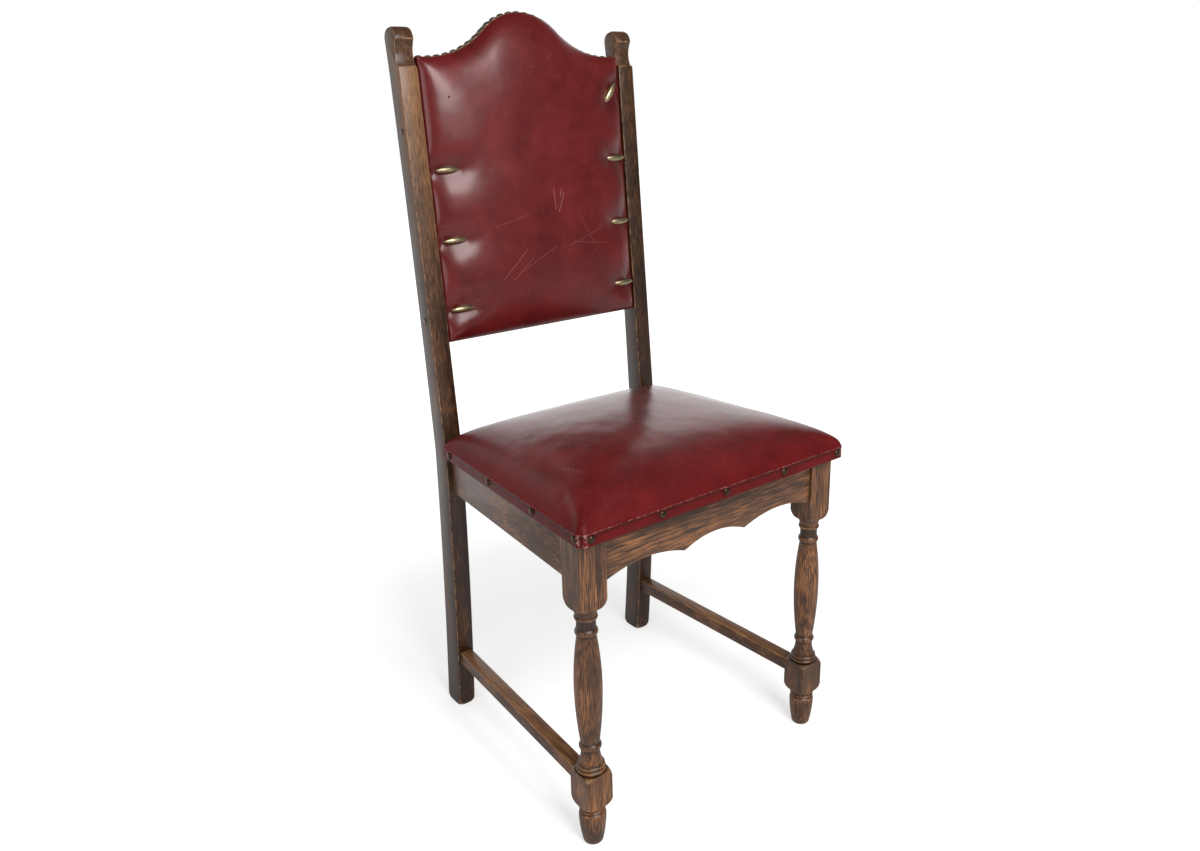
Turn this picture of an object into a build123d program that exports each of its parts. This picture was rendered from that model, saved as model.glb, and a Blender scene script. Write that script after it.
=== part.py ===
from build123d import *
import os
from math import atan, cos, radians, sin, sqrt, tan

os.makedirs("parts", exist_ok=True)

# Upholstered dining chair, in millimetres. +Z is up and the sitter faces -Y.
# Left and right are as seen by someone standing in front of the chair.
# A seat frame of mortised rails stands on two turned legs and two swept posts.
# A leather seat is nailed round its board, and a leather panel is screwed between the posts.

# Plan of the frame
leg_stock = 40.0           # square of the front legs' blocks
leg_spread = 399.0         # between the axes of the front legs
seat_run = 353.0           # front leg axes to the posts' front faces at the knee
back_opening = 335.0       # clear width between the posts
post_width = 27.0
arris_ease = 1.5           # rounding of the legs' long edges, and chamfer of the posts'

# Back posts, seen from the side
knee_height = 440.0        # where the raked back starts above the swept foot
back_rake = 4.8            # degrees that the back leans from upright
knee_depth = 34.0
waist_depth = 30.0         # halfway between the knee and the finial
neck_depth = 32.0          # just below the finial
foot_depth = 39.0
foot_sweep = 22.0          # how far the foot stands behind the knee
foot_bow = 4.5             # hollow of the swept foot
saw_allowance = 10.0       # sawn off below the floor once the edges are rounded
finial_base_height = 976.0
finial_height = 50.0
finial_depth = 37.0
finial_ridge_height = 35.0
finial_ridge_setback = 4.0
finial_cove_depth = 9.5
finial_ledge = 4.5
finial_crown_radius = 6.0  # rounding of the finial's top over its sides

# Turned front legs: radii, then heights going up from the floor
foot_radius = 13.0
foot_swell_radius = 18.0
ankle_radius = 15.4
neck_radius = 12.4
bead_radius = 14.9
vase_radius = 18.2
ring_radius = 19.2
ring_root_radius = 17.3
ring_step = 1.5            # by which the upper ring is smaller than the lower
collar_radius = 14.4
foot_belly = 0.7           # how far the foot swells past a straight taper
ankle_belly = 0.4
foot_swell_height = 34.0
ankle_height = 47.0
lower_block_base = 61.0
lower_block_height = 51.0
shoulder_height = 18.0     # where the turning runs out into the upper block's corners
shoulder_rise = 6.5        # height at which the shoulder is half way out
lower_shoulder_height = 11.0
lower_shoulder_rise = 4.0
ring_height = 14.0
lower_neck_height = 17.5
bead_height = 13.0
vase_swell_drop = 74.0     # from the upper bead down to the vase's widest place
upper_neck_height = 9.0
cup_height = 18.0
collar_base = 2.7          # above the bottom of the cup
collar_height = 3.6
upper_block_height = 97.0

# Seat frame
seat_height = 449.5        # underside of the seat board at its front edge
seat_slope = 1.6           # degrees, falling towards the back
rail_thickness = 20.0
side_rail_height = 58.0
side_rail_leg_recess = 1.0
side_rail_post_recess = 6.5
scribe_allowance = 4.0     # wood left on a rail's end and cut back to the post's face
apron_depth = 66.0
apron_recess = 4.0         # behind the leg blocks' front faces
arch_rise = 12.0
middle_arch_span = 105.6
rear_rail_height = 52.0
rear_rail_setback = 12.0   # behind the posts' front faces
stretcher_stock = 20.0
stretcher_height = 92.0

# Joints of the frame
tenon_length = 15.0
tenon_thickness = 8.0
tenon_height = 34.0
stretcher_tenon_radius = 6.0
tenon_play = 0.15
block_reach = 76.0         # corner blocks, along each rail from their corner
block_web = 36.0
block_height = 24.0

# Leather seat
leather = 1.5
front_overhang = 14.5      # of the seat board past the leg blocks
side_overhang = 8.5
post_overhang = 2.0
seat_board_thickness = 14.5
seat_corner_radius = 12.0
corner_easing = 6          # share of the inset that rounds the crown's corners further up
seat_pad_gap = 2.5         # between the padding and the posts
seat_tongue_gap = 2.5      # between the board's tongue and the posts
seat_hem = 3.5             # turned under the board
seat_crown = 50.0
nail_head_radius = 5.0
nail_head_rise = 3.0
nail_shank = 2.0
nail_length = 12.0
nail_sides = 10            # facets of a hammered head
nail_slant = 45            # degrees that a head's facets lean inwards
front_nail_pitch = 106.0
front_nail_count = 5
side_nail_places = (11.0, 115.0, 239.0, 367.0)   # along the seat from its front
screw_radius = 2.0
screw_head_radius = 4.0
screw_head_height = 2.4
screw_play = 0.2
seat_screw_bite = 9.0      # into the seat board

# Leather back panel
panel_gap = 2.0            # between the panel and each post
panel_bottom = 163.0       # up the back from the knee
panel_shoulder = 387.0     # height of the panel at its corners
crest_rise = 60.0
crest_run = 150.0          # from the crest's middle to where its hollow ends
crest_radius = 85.0        # of the crest's round top
panel_setback = 3.0        # of the panel's edge behind the posts' front faces
panel_padding_edge = 2.0
panel_board_thickness = 16.0
panel_crown = 18.0
crest_nail_radius = 5.8
crest_nail_rise = 3.2
crest_nail_pitch = 13.4
crest_nail_lift = 0.25     # lets the flat heads bridge the hollows of the crest
stud_length = 39.0
stud_width = 11.0
stud_rise = 4.0
stud_press = 4.0           # how deep each stud is drawn into the padding
stud_spread = 284.0
stud_first = 46.0          # lowest row of studs above the panel's bottom
stud_pitch = 96.5
stud_rows = 4
stud_shank = 2.4
stud_bite = 10.0           # into the panel's board
turned_stud_angle = 54.0   # the upper right stud has worked round
dimple_flare = 9.0
back_screw_places = (34.0, 292.0)   # above the panel's bottom
back_screw_bite = 24.0
plug_radius = 5.0
plug_length = 7.0

# Places that follow from the sizes above
leg_half = leg_stock / 2
leg_x = leg_spread / 2
leg_inner = leg_x - leg_half
leg_outer = leg_x + leg_half
post_inner = back_opening / 2
post_outer = post_inner + post_width
post_x = post_inner + post_width / 2
rake = radians(back_rake)
slope = radians(seat_slope)
front_reach = leg_half + front_overhang + leather + nail_head_rise
back_lean = (finial_base_height - knee_height) * tan(rake)
rear_reach = seat_run + back_lean + finial_depth
leg_y = (front_reach - rear_reach) / 2
leg_front = leg_y - leg_half
leg_rear = leg_y + leg_half
post_front = leg_y + seat_run
seat_front = leg_front - front_overhang
apron_front = leg_front + apron_recess
apron_rear = apron_front + rail_thickness
rear_rail_front = post_front + rear_rail_setback
rear_rail_rear = rear_rail_front + rail_thickness
rail_floor = seat_height / 2         # low enough to start any rail's blank
board_front_half = leg_outer + side_overhang
board_post_half = post_outer + post_overhang
seat_post_depth = (post_front - seat_front) / cos(slope)
seat_rear_depth = (rear_rail_rear - seat_front) / cos(slope)
band_height = seat_board_thickness + leather
panel_half = post_inner - panel_gap
panel_face = -panel_setback
padding_face = panel_face - leather
board_face = padding_face - panel_padding_edge
board_back = board_face - panel_board_thickness
rim_middle = (panel_face + board_back) / 2
stud_x = stud_spread / 2
screw_reach = 2 * (post_width + panel_gap + back_screw_bite)
sides = {"left": -1, "right": 1}

seat_plane = Plane(origin=(0, seat_front, seat_height), z_dir=(0, sin(slope), cos(slope)), x_dir=(1, 0, 0))
back_plane = Plane(origin=(0, post_front, knee_height), z_dir=(0, -cos(rake), sin(rake)), x_dir=(1, 0, 0))


def save(piece, label):
    """Names a finished piece and writes it."""
    piece.part.label = label
    export_step(piece.part, f"parts/{label}.step")


def seat_z(y):
    """Height of the seat board's underside at depth y."""
    return seat_height - (y - seat_front) * tan(slope)


def side_rail_outer(y):
    """Outer face of the right side rail at depth y."""
    at_leg = leg_outer - side_rail_leg_recess
    at_post = post_outer - side_rail_post_recess
    return at_leg + (at_post - at_leg) * (y - leg_rear) / (post_front - leg_rear)


def board_half(depth):
    """Half the seat board's width at a depth along the seat."""
    return board_front_half + (board_post_half - board_front_half) * depth / seat_post_depth


# Each rail's tenon as its middle and size, which its mortise takes too

def apron_tenon(side):
    middle = (side * (leg_inner + tenon_length / 2), (apron_front + apron_rear) / 2,
              seat_z(apron_front) - apron_depth / 2)
    return middle, (tenon_length, tenon_thickness, tenon_height)


def leg_tenon(side):
    middle = (side * (side_rail_outer(leg_rear) - rail_thickness / 2), leg_rear - tenon_length / 2,
              seat_z(leg_rear) - side_rail_height / 2)
    return middle, (tenon_thickness, tenon_length, tenon_height)


def post_tenon(side):
    middle = (side * (side_rail_outer(post_front) - rail_thickness / 2), post_front,
              seat_z(post_front) - side_rail_height / 2)
    return middle, (tenon_thickness, 2 * tenon_length, tenon_height)


def rear_tenon(side):
    middle = (side * (post_inner + tenon_length / 2), (rear_rail_front + rear_rail_rear) / 2,
              seat_z(rear_rail_front) - rear_rail_height / 2)
    return middle, (tenon_length, tenon_thickness, tenon_height)


def stretcher_tenons(side):
    """Places of a stretcher's two round tenons, which run along Y through the faces they enter."""
    at_leg = Plane(origin=(side * leg_x, leg_rear, stretcher_height), z_dir=(0, 1, 0))
    at_post = Plane(origin=(side * post_x, post_face(stretcher_height), stretcher_height), z_dir=(0, 1, 0))
    return at_leg, at_post


def swept_face(knee_y, foot_y, z):
    """Depth at height z of a swept face of the foot, an arc hollowing forward from knee to floor."""
    chord = sqrt(knee_height ** 2 + (foot_y - knee_y) ** 2)
    radius = (chord ** 2 / 4 + foot_bow ** 2) / (2 * foot_bow)
    lean = atan((foot_y - knee_y) / knee_height)
    centre_y = (foot_y + knee_y) / 2 + (radius - foot_bow) * cos(lean)
    centre_z = knee_height / 2 + (radius - foot_bow) * sin(lean)
    return centre_y - sqrt(radius ** 2 - (z - centre_z) ** 2)


def post_face(z):
    return swept_face(post_front, post_front + foot_sweep, z)


def post_rear(z):
    return swept_face(post_front + knee_depth, post_front + foot_sweep + foot_depth, z)


def cut_mortise(tenon):
    """Sinks a mortise for a tenon, with play all round."""
    middle, size = tenon
    with Locations(middle):
        Box(*(length + 2 * tenon_play for length in size), mode=Mode.SUBTRACT)


def add_tenon(tenon):
    middle, size = tenon
    with Locations(middle):
        Box(*size)


def trim_to_seat(height):
    """Cuts a rail's blank to the sloping seat, leaving the given height below it."""
    split(bisect_by=seat_plane, keep=Keep.BOTTOM)
    split(bisect_by=seat_plane.offset(-height), keep=Keep.TOP)


# Back posts

def post_blank(side):
    """A sawn post before its mortises: swept foot, raked back and coved finial."""
    calf = knee_height / 2
    foot_toe = (post_face(-saw_allowance), -saw_allowance)
    foot_heel = (post_rear(-saw_allowance), -saw_allowance)
    knee_fore = (post_front, knee_height)
    knee_aft = (post_front + knee_depth, knee_height)
    neck_y = post_front + back_lean
    neck_fore = (neck_y, finial_base_height)
    neck_aft = (neck_y + neck_depth, finial_base_height)
    waist_aft = (post_front + back_lean / 2 + waist_depth, (knee_height + finial_base_height) / 2)
    ridge = (neck_y + finial_ridge_setback, finial_base_height + finial_ridge_height)
    ledge = (neck_y + finial_ledge, finial_base_height)
    cove = (neck_y + finial_cove_depth, finial_base_height + finial_ridge_height / 2)
    top = finial_base_height + finial_height
    brow_rise = finial_height - finial_ridge_height
    crown_fore = (neck_y + finial_depth / 2, top)
    brow = (neck_y + finial_depth / 4, top - brow_rise / 3)
    nape = (neck_y + finial_depth, top - brow_rise)
    crown_aft = (neck_y + finial_depth - brow_rise / 3, top - brow_rise / 3)
    with BuildPart() as blank:
        with BuildSketch(Plane.YZ.offset(side * post_x - post_width / 2)):
            with BuildLine():
                Line(foot_heel, foot_toe)
                ThreePointArc(foot_toe, (post_face(calf), calf), knee_fore)
                Polyline(knee_fore, neck_fore, ledge)
                ThreePointArc(ledge, cove, ridge)
                ThreePointArc(ridge, brow, crown_fore)
                ThreePointArc(crown_fore, crown_aft, nape)
                Line(nape, neck_aft)
                ThreePointArc(neck_aft, waist_aft, knee_aft)
                ThreePointArc(knee_aft, (post_rear(calf), calf), foot_heel)
            make_face()
        extrude(amount=post_width)
        chamfer([edge for edge in blank.edges() if edge.length > knee_depth * 2], arris_ease)
        with BuildSketch(Plane.XZ) as front_view:
            with Locations((side * post_x, top / 2)):
                Rectangle(post_width, top)
            fillet(front_view.vertices().group_by(Axis.Y)[-1], finial_crown_radius)
        extrude(amount=rear_reach, both=True, mode=Mode.INTERSECT)
    return blank.part


def back_screw_planes(side):
    """Where the back's screws cross a post's outer face, square to it."""
    for place in back_screw_places:
        local = (side * post_outer, panel_bottom + place, (board_face + board_back) / 2)
        yield Plane(origin=back_plane.from_local_coords(local), x_dir=(0, 1, 0), z_dir=(side, 0, 0))


blanks = {side: post_blank(side) for side in sides.values()}

for name, side in sides.items():
    at_leg, at_post = stretcher_tenons(side)
    with BuildPart() as rear_post:
        add(blanks[side])
        cut_mortise(post_tenon(side))
        cut_mortise(rear_tenon(side))
        with Locations(at_post):
            Cylinder(stretcher_tenon_radius + tenon_play, 2 * (tenon_length + tenon_play), mode=Mode.SUBTRACT)
        with Locations(*back_screw_planes(side)):
            CounterBoreHole(
                screw_radius + screw_play, plug_radius, plug_length + screw_head_height, post_width)
    save(rear_post, f"rear_post_{name}")

# Turned front legs

for name, side in sides.items():
    axis_plane = Plane(origin=(side * leg_x, leg_y, 0), x_dir=(1, 0, 0), z_dir=(0, -1, 0))
    corner = leg_half * sqrt(2)
    shoulder_reach = (leg_half + corner) / 2
    lower_block_top = lower_block_base + lower_block_height
    ring_top = lower_block_top + ring_height
    lower_bead_base = ring_top + lower_neck_height
    neck_fillet = (neck_radius, ring_top + lower_neck_height / 2)
    lower_bead_top = lower_bead_base + bead_height
    upper_block_base = seat_z(leg_y) - upper_block_height
    cup_base = upper_block_base - cup_height
    upper_bead_top = cup_base - upper_neck_height
    upper_bead_base = upper_bead_top - bead_height
    swell_height = upper_bead_base - vase_swell_drop
    ring_split = lower_block_top + ring_height / 2
    ring_top_radius = ring_root_radius - ring_step
    collar_top = cup_base + collar_base + collar_height
    with BuildPart() as front_leg:
        with BuildSketch(axis_plane):
            with BuildLine():
                Line((0, 0), (foot_radius, 0))
                ThreePointArc(
                    (foot_radius, 0),
                    ((foot_radius + foot_swell_radius) / 2 + foot_belly, foot_swell_height / 2),
                    (foot_swell_radius, foot_swell_height))
                ThreePointArc(
                    (foot_swell_radius, foot_swell_height),
                    ((foot_swell_radius + ankle_radius) / 2 + ankle_belly,
                     (foot_swell_height + ankle_height) / 2),
                    (ankle_radius, ankle_height))
                Line((ankle_radius, ankle_height), (leg_half, lower_block_base))
                ThreePointArc(
                    (leg_half, lower_block_base),
                    (shoulder_reach, lower_block_base + lower_shoulder_rise),
                    (corner, lower_block_base + lower_shoulder_height))
                Line(
                    (corner, lower_block_base + lower_shoulder_height),
                    (corner, lower_block_top - lower_shoulder_height))
                ThreePointArc(
                    (corner, lower_block_top - lower_shoulder_height),
                    (shoulder_reach, lower_block_top - lower_shoulder_rise),
                    (leg_half, lower_block_top))
                Line((leg_half, lower_block_top), (ring_root_radius, lower_block_top))
                ThreePointArc(
                    (ring_root_radius, lower_block_top),
                    (ring_radius, lower_block_top + ring_height / 4),
                    (ring_root_radius, ring_split))
                ThreePointArc(
                    (ring_root_radius, ring_split),
                    (ring_radius - ring_step, ring_split + ring_height / 4),
                    (ring_top_radius, ring_top))
                TangentArc(neck_fillet, (ring_top_radius, ring_top), tangent=(0, -1))
                Line(neck_fillet, (neck_radius, lower_bead_base))
                ThreePointArc(
                    (neck_radius, lower_bead_base),
                    (bead_radius, lower_bead_base + bead_height / 2),
                    (neck_radius, lower_bead_top))
                TangentArc((vase_radius, swell_height), (neck_radius, lower_bead_top), tangent=(0, -1))
                TangentArc((vase_radius, swell_height), (neck_radius, upper_bead_base), tangent=(0, 1))
                ThreePointArc(
                    (neck_radius, upper_bead_base),
                    (bead_radius, upper_bead_base + bead_height / 2),
                    (neck_radius, upper_bead_top))
                Line((neck_radius, upper_bead_top), (neck_radius, cup_base))
                Polyline(
                    (neck_radius, cup_base),
                    (collar_radius, cup_base + collar_base),
                    (collar_radius, collar_top),
                    (leg_half, upper_block_base))
                ThreePointArc(
                    (leg_half, upper_block_base),
                    (shoulder_reach, upper_block_base + shoulder_rise),
                    (corner, upper_block_base + shoulder_height))
                Polyline(
                    (corner, upper_block_base + shoulder_height), (corner, seat_height),
                    (0, seat_height), (0, 0))
            make_face()
        revolve(axis=Axis((side * leg_x, leg_y, 0), (0, 0, 1)))
        with BuildSketch(Plane(origin=(side * leg_x, leg_y, 0))):
            RectangleRounded(leg_stock, leg_stock, arris_ease)
        extrude(amount=seat_height, mode=Mode.INTERSECT)
        split(bisect_by=seat_plane, keep=Keep.BOTTOM)
        cut_mortise(apron_tenon(side))
        cut_mortise(leg_tenon(side))
        with Locations(stretcher_tenons(side)[0]):
            Cylinder(stretcher_tenon_radius + tenon_play, 2 * (tenon_length + tenon_play), mode=Mode.SUBTRACT)
    save(front_leg, f"front_leg_{name}")

# Seat frame

apron_low = seat_z(apron_front) - apron_depth
arch_crown = apron_low + arch_rise
cusp = middle_arch_span / 2
with BuildPart() as front_seat_rail:
    with BuildSketch(Plane.XZ.offset(-apron_rear)):
        with BuildLine():
            ThreePointArc((-leg_inner, apron_low), (-(leg_inner + cusp) / 2, arch_crown), (-cusp, apron_low))
            ThreePointArc((-cusp, apron_low), (0, arch_crown), (cusp, apron_low))
            ThreePointArc((cusp, apron_low), ((leg_inner + cusp) / 2, arch_crown), (leg_inner, apron_low))
            Polyline(
                (leg_inner, apron_low), (leg_inner, seat_height),
                (-leg_inner, seat_height), (-leg_inner, apron_low))
        make_face()
    extrude(amount=rail_thickness)
    split(bisect_by=seat_plane, keep=Keep.BOTTOM)
    for side in sides.values():
        add_tenon(apron_tenon(side))
save(front_seat_rail, "front_seat_rail")

with BuildPart() as rear_seat_rail:
    with BuildSketch(Plane.XY.offset(rail_floor)):
        with Locations((0, (rear_rail_front + rear_rail_rear) / 2)):
            Rectangle(back_opening, rail_thickness)
    extrude(amount=rail_floor)
    trim_to_seat(rear_rail_height)
    for side in sides.values():
        add_tenon(rear_tenon(side))
save(rear_seat_rail, "rear_seat_rail")

for name, side in sides.items():
    into_post = post_front + scribe_allowance
    with BuildPart() as side_seat_rail:
        with BuildSketch(Plane.XY.offset(rail_floor)):
            with BuildLine():
                Polyline(
                    (side * side_rail_outer(leg_rear), leg_rear),
                    (side * side_rail_outer(into_post), into_post),
                    (side * (side_rail_outer(into_post) - rail_thickness), into_post),
                    (side * (side_rail_outer(leg_rear) - rail_thickness), leg_rear),
                    close=True)
            make_face()
        extrude(amount=rail_floor)
        trim_to_seat(side_rail_height)
        add(blanks[side], mode=Mode.SUBTRACT)
        add_tenon(leg_tenon(side))
        add_tenon(post_tenon(side))
    save(side_seat_rail, f"side_seat_rail_{name}")

for name, side in sides.items():
    at_leg, at_post = stretcher_tenons(side)
    half = stretcher_stock / 2
    into_post = at_post.origin.Y + scribe_allowance
    drift = (post_x - leg_x) / (at_post.origin.Y - leg_rear)
    rear_x = leg_x + drift * (into_post - leg_rear)
    with BuildPart() as side_stretcher:
        with BuildSketch(Plane.XY.offset(stretcher_height - half)):
            with BuildLine():
                Polyline(
                    (side * (leg_x + half), leg_rear), (side * (rear_x + half), into_post),
                    (side * (rear_x - half), into_post), (side * (leg_x - half), leg_rear), close=True)
            make_face()
        extrude(amount=stretcher_stock)
        add(blanks[side], mode=Mode.SUBTRACT)
        with Locations(at_leg, at_post):
            Cylinder(stretcher_tenon_radius, 2 * tenon_length)
    save(side_stretcher, f"side_stretcher_{name}")


def block_corners(side, end):
    """Plan of a corner block that spans from a cross rail to a side rail."""
    face, step = (apron_rear, 1) if end == "front" else (rear_rail_front, -1)
    inner = side_rail_outer(face) - rail_thickness
    outline = [(inner - block_reach, face), (inner - block_reach + block_web, face)]
    for reach in (block_reach - block_web, block_reach):
        y = face + step * reach
        outline.append((side_rail_outer(y) - rail_thickness, y))
    return [(side * x, y) for x, y in outline]


def block_middle(side, end):
    corners = block_corners(side, end)
    x = sum(point[0] for point in corners) / len(corners)
    y = sum(point[1] for point in corners) / len(corners)
    return x, (y - seat_front) / cos(slope)


block_middles = [block_middle(side, end) for side in sides.values() for end in ("front", "rear")]

for end in ("front", "rear"):
    for name, side in sides.items():
        with BuildPart() as corner_block:
            with BuildSketch(Plane.XY.offset(rail_floor)):
                with BuildLine():
                    Polyline(*block_corners(side, end), close=True)
                make_face()
            extrude(amount=rail_floor)
            trim_to_seat(block_height)
            with BuildSketch(seat_plane):
                with Locations(block_middle(side, end)):
                    Circle(screw_radius + screw_play)
            extrude(amount=-2 * block_height, mode=Mode.SUBTRACT)
        save(corner_block, f"corner_block_{end}_{name}")

# Leather seat

def front_nail_planes():
    first = -front_nail_pitch * (front_nail_count - 1) / 2
    for number in range(front_nail_count):
        yield Plane(origin=(first + number * front_nail_pitch, -leather, band_height / 2),
                    x_dir=(1, 0, 0), z_dir=(0, -1, 0))


def side_nail_planes():
    taper = (board_front_half - board_post_half) / seat_post_depth
    length = sqrt(1 + taper ** 2)
    for side in sides.values():
        for depth in side_nail_places:
            half = board_half(depth) + leather * length
            yield Plane(origin=(side * half, depth, band_height / 2),
                        x_dir=(0, 0, 1), z_dir=(side / length, taper / length, 0))


nail_places = [plane.location for plane in (*front_nail_planes(), *side_nail_planes())]


def board_outline(grow):
    """Plan of the seat board, or of its cover when grown: a taper with a tongue between the posts."""
    notch = seat_post_depth - seat_pad_gap + grow
    tongue = post_inner - seat_tongue_gap + grow
    rear = seat_rear_depth + grow
    front_half = board_half(0) + grow
    notch_half = board_half(notch) + grow
    with BuildSketch() as outline:
        with BuildLine():
            Polyline(
                (-front_half, -grow), (front_half, -grow), (notch_half, notch), (tongue, notch),
                (tongue, rear), (-tongue, rear), (-tongue, notch), (-notch_half, notch), close=True)
        make_face()
        fillet(outline.vertices().group_by(Axis.Y)[0], seat_corner_radius + grow)
    return outline.sketch


# How padding rises from its edge: share of the way to its middle, and share of its crown.
# A stud's dome is given as shares of its rise and of its length.
seat_rise = ((0, 0), (0.04, 0.25), (0.13, 0.53), (0.26, 0.75), (0.47, 0.93), (0.73, 1.0))
stud_dome = ((0, 1.0), (0.6, 0.82), (1.0, 0.45))
panel_rise = ((0, 0), (0.055, 0.36), (0.17, 0.68), (0.35, 0.91), (0.58, 1.0))


def seat_crown_sections(grow):
    """Rounded tapers that a crowned seat is lofted through."""
    sections = []
    for way, share in seat_rise:
        inset = way * seat_post_depth / 2
        edge = inset - grow
        rear = seat_post_depth - seat_pad_gap - edge
        front_half = board_half(edge) - edge
        rear_half = board_half(rear) - edge
        level = seat_board_thickness + grow + share * seat_crown
        with BuildSketch(seat_plane.offset(level)) as section:
            with BuildLine():
                Polyline(
                    (-front_half, edge), (front_half, edge),
                    (rear_half, rear), (-rear_half, rear), close=True)
            make_face()
            fillet(section.vertices(), seat_corner_radius + inset / corner_easing)
        sections.append(section.sketch)
    return sections


with BuildPart() as seat_board:
    with BuildSketch(seat_plane):
        add(board_outline(0))
    extrude(amount=seat_board_thickness)
    with BuildSketch(seat_plane):
        with Locations(*block_middles):
            Circle(screw_radius)
    extrude(amount=seat_screw_bite, mode=Mode.SUBTRACT)
    with Locations(*(seat_plane.location * place for place in nail_places)):
        Box(nail_shank, nail_shank, 2 * nail_length, mode=Mode.SUBTRACT)
save(seat_board, "seat_board")

with BuildPart() as seat_padding:
    loft(seat_crown_sections(0), ruled=True)
save(seat_padding, "seat_padding")

with BuildPart() as seat_cover:
    with BuildSketch(seat_plane.offset(-leather)):
        add(board_outline(leather))
    extrude(amount=seat_board_thickness + 2 * leather)
    loft(seat_crown_sections(leather), ruled=True)
    with BuildSketch(seat_plane):
        add(board_outline(0))
    extrude(amount=seat_board_thickness, mode=Mode.SUBTRACT)
    add(seat_padding.part, mode=Mode.SUBTRACT)
    with BuildSketch(seat_plane.offset(-leather)):
        with BuildLine():
            front_half = board_half(seat_hem) - seat_hem
            rear_half = board_half(seat_rear_depth) - seat_hem
            past = seat_rear_depth + 2 * leather
            Polyline(
                (-front_half, seat_hem), (front_half, seat_hem),
                (rear_half, past), (-rear_half, past), close=True)
        make_face()
    extrude(amount=leather, mode=Mode.SUBTRACT)
    with Locations(*(seat_plane.location * place for place in nail_places)):
        Box(nail_shank, nail_shank, 2 * nail_length, mode=Mode.SUBTRACT)
save(seat_cover, "seat_cover")

def upholstery_nail(head_radius, head_rise):
    """A hammered nail with its head's underside at the origin, pointing down."""
    with BuildPart() as nail:
        with BuildSketch():
            RegularPolygon(head_radius, nail_sides)
        extrude(amount=head_rise, taper=nail_slant)
        Box(nail_shank, nail_shank, nail_length, align=(Align.CENTER, Align.CENTER, Align.MAX))
    return nail.part


with BuildPart() as seat_nails:
    with Locations(*(seat_plane.location * place for place in nail_places)):
        add(upholstery_nail(nail_head_radius, nail_head_rise))
save(seat_nails, "seat_nails")

with BuildPart() as seat_screws:
    for x, depth in block_middles:
        with BuildSketch(seat_plane.offset(-block_height)):
            with Locations((x, depth)):
                Circle(screw_radius)
        extrude(amount=block_height + seat_screw_bite)
        with BuildSketch(seat_plane.offset(-block_height)):
            with Locations((x, depth)):
                Circle(screw_head_radius)
        extrude(amount=-screw_head_height)
save(seat_screws, "seat_screws")

# Leather back panel

def crest_line(inset):
    """Corners and arcs of the panel's camel-back top, from right to left, at an inset from its edge."""
    share = (panel_half - inset) / panel_half
    shoulder = panel_bottom + panel_shoulder - inset
    rise, run, peak_radius = crest_rise * share, crest_run * share, crest_radius * share
    turn = 2 * atan(rise / run)
    hollow_radius = run / sin(turn) - peak_radius
    peak = shoulder + rise
    meet = (peak_radius * sin(turn), peak - peak_radius * (1 - cos(turn)))
    hollow = (run - hollow_radius * sin(turn / 2), shoulder + hollow_radius * (1 - cos(turn / 2)))
    Line((panel_half - inset, shoulder), (run, shoulder))
    ThreePointArc((run, shoulder), hollow, meet)
    ThreePointArc(meet, (0, peak), (-meet[0], meet[1]))
    ThreePointArc((-meet[0], meet[1]), (-hollow[0], hollow[1]), (-run, shoulder))
    Line((-run, shoulder), (-panel_half + inset, shoulder))


def panel_outline(inset):
    half, low = panel_half - inset, panel_bottom + inset
    shoulder = panel_bottom + panel_shoulder - inset
    with BuildSketch() as outline:
        with BuildLine():
            crest_line(inset)
            Polyline((-half, shoulder), (-half, low), (half, low), (half, shoulder))
        make_face()
    return outline.sketch


def panel_crown_sections(skin):
    """Outlines that the crowned panel is lofted through, under a skin of leather or without it."""
    sections = []
    for way, share in panel_rise:
        with BuildSketch(back_plane.offset(panel_face - skin + share * panel_crown)) as section:
            add(panel_outline(way * panel_half + skin))
        sections.append(section.sketch)
    return sections


def stud_places():
    """The studs that are left: every place but the upper left one, which has lost its stud."""
    for row in range(stud_rows):
        for side in sides.values():
            top_row = row == stud_rows - 1
            if top_row and side < 0:
                continue
            angle = turned_stud_angle if top_row else 0
            yield side * stud_x, panel_bottom + stud_first + row * stud_pitch, angle


lost_stud = (-stud_x, panel_bottom + stud_first + (stud_rows - 1) * stud_pitch)
stud_seat = panel_face + panel_crown * panel_rise[2][1] - stud_press


def press_dimples(skin):
    """Sinks a flared seat for each stud, as deep as its skin leaves it."""
    floor = stud_seat - skin
    for x, y, angle in stud_places():
        rings = []
        for level, flare in ((floor, skin), (floor + dimple_flare, skin + dimple_flare)):
            with BuildSketch(back_plane.offset(level)) as ring:
                with Locations((x, y)):
                    Ellipse(stud_length / 2 + flare, stud_width / 2 + flare, rotation=angle)
            rings.append(ring.sketch)
        loft(rings, mode=Mode.SUBTRACT)


def cut_stud_holes():
    """Square holes for the studs' shanks, and the one that the lost stud has left."""
    depth = panel_crown + stud_bite
    for x, y in (lost_stud, *((x, y) for x, y, angle in stud_places())):
        with Locations(back_plane.location * Location((x, y, board_face - stud_bite))):
            Box(stud_shank, stud_shank, 2 * depth, align=(Align.CENTER, Align.CENTER, Align.MIN),
                mode=Mode.SUBTRACT)


with BuildLine(back_plane) as crest_path:
    crest_line(0)
crest_edges = crest_path.wire()
crest_nail_count = round(crest_edges.length / crest_nail_pitch)


def crest_nail_places():
    """Evenly spaced places along the crest, in the middle of the rim and square to it."""
    forward = back_plane.z_dir
    for number in range(crest_nail_count):
        share = (number + 0.5) / crest_nail_count
        along = crest_edges.tangent_at(share)
        outward = along.cross(forward)
        place = crest_edges.position_at(share) + forward * rim_middle + outward * crest_nail_lift
        yield Plane(origin=place, x_dir=along, z_dir=outward).location


crest_places = list(crest_nail_places())

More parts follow.
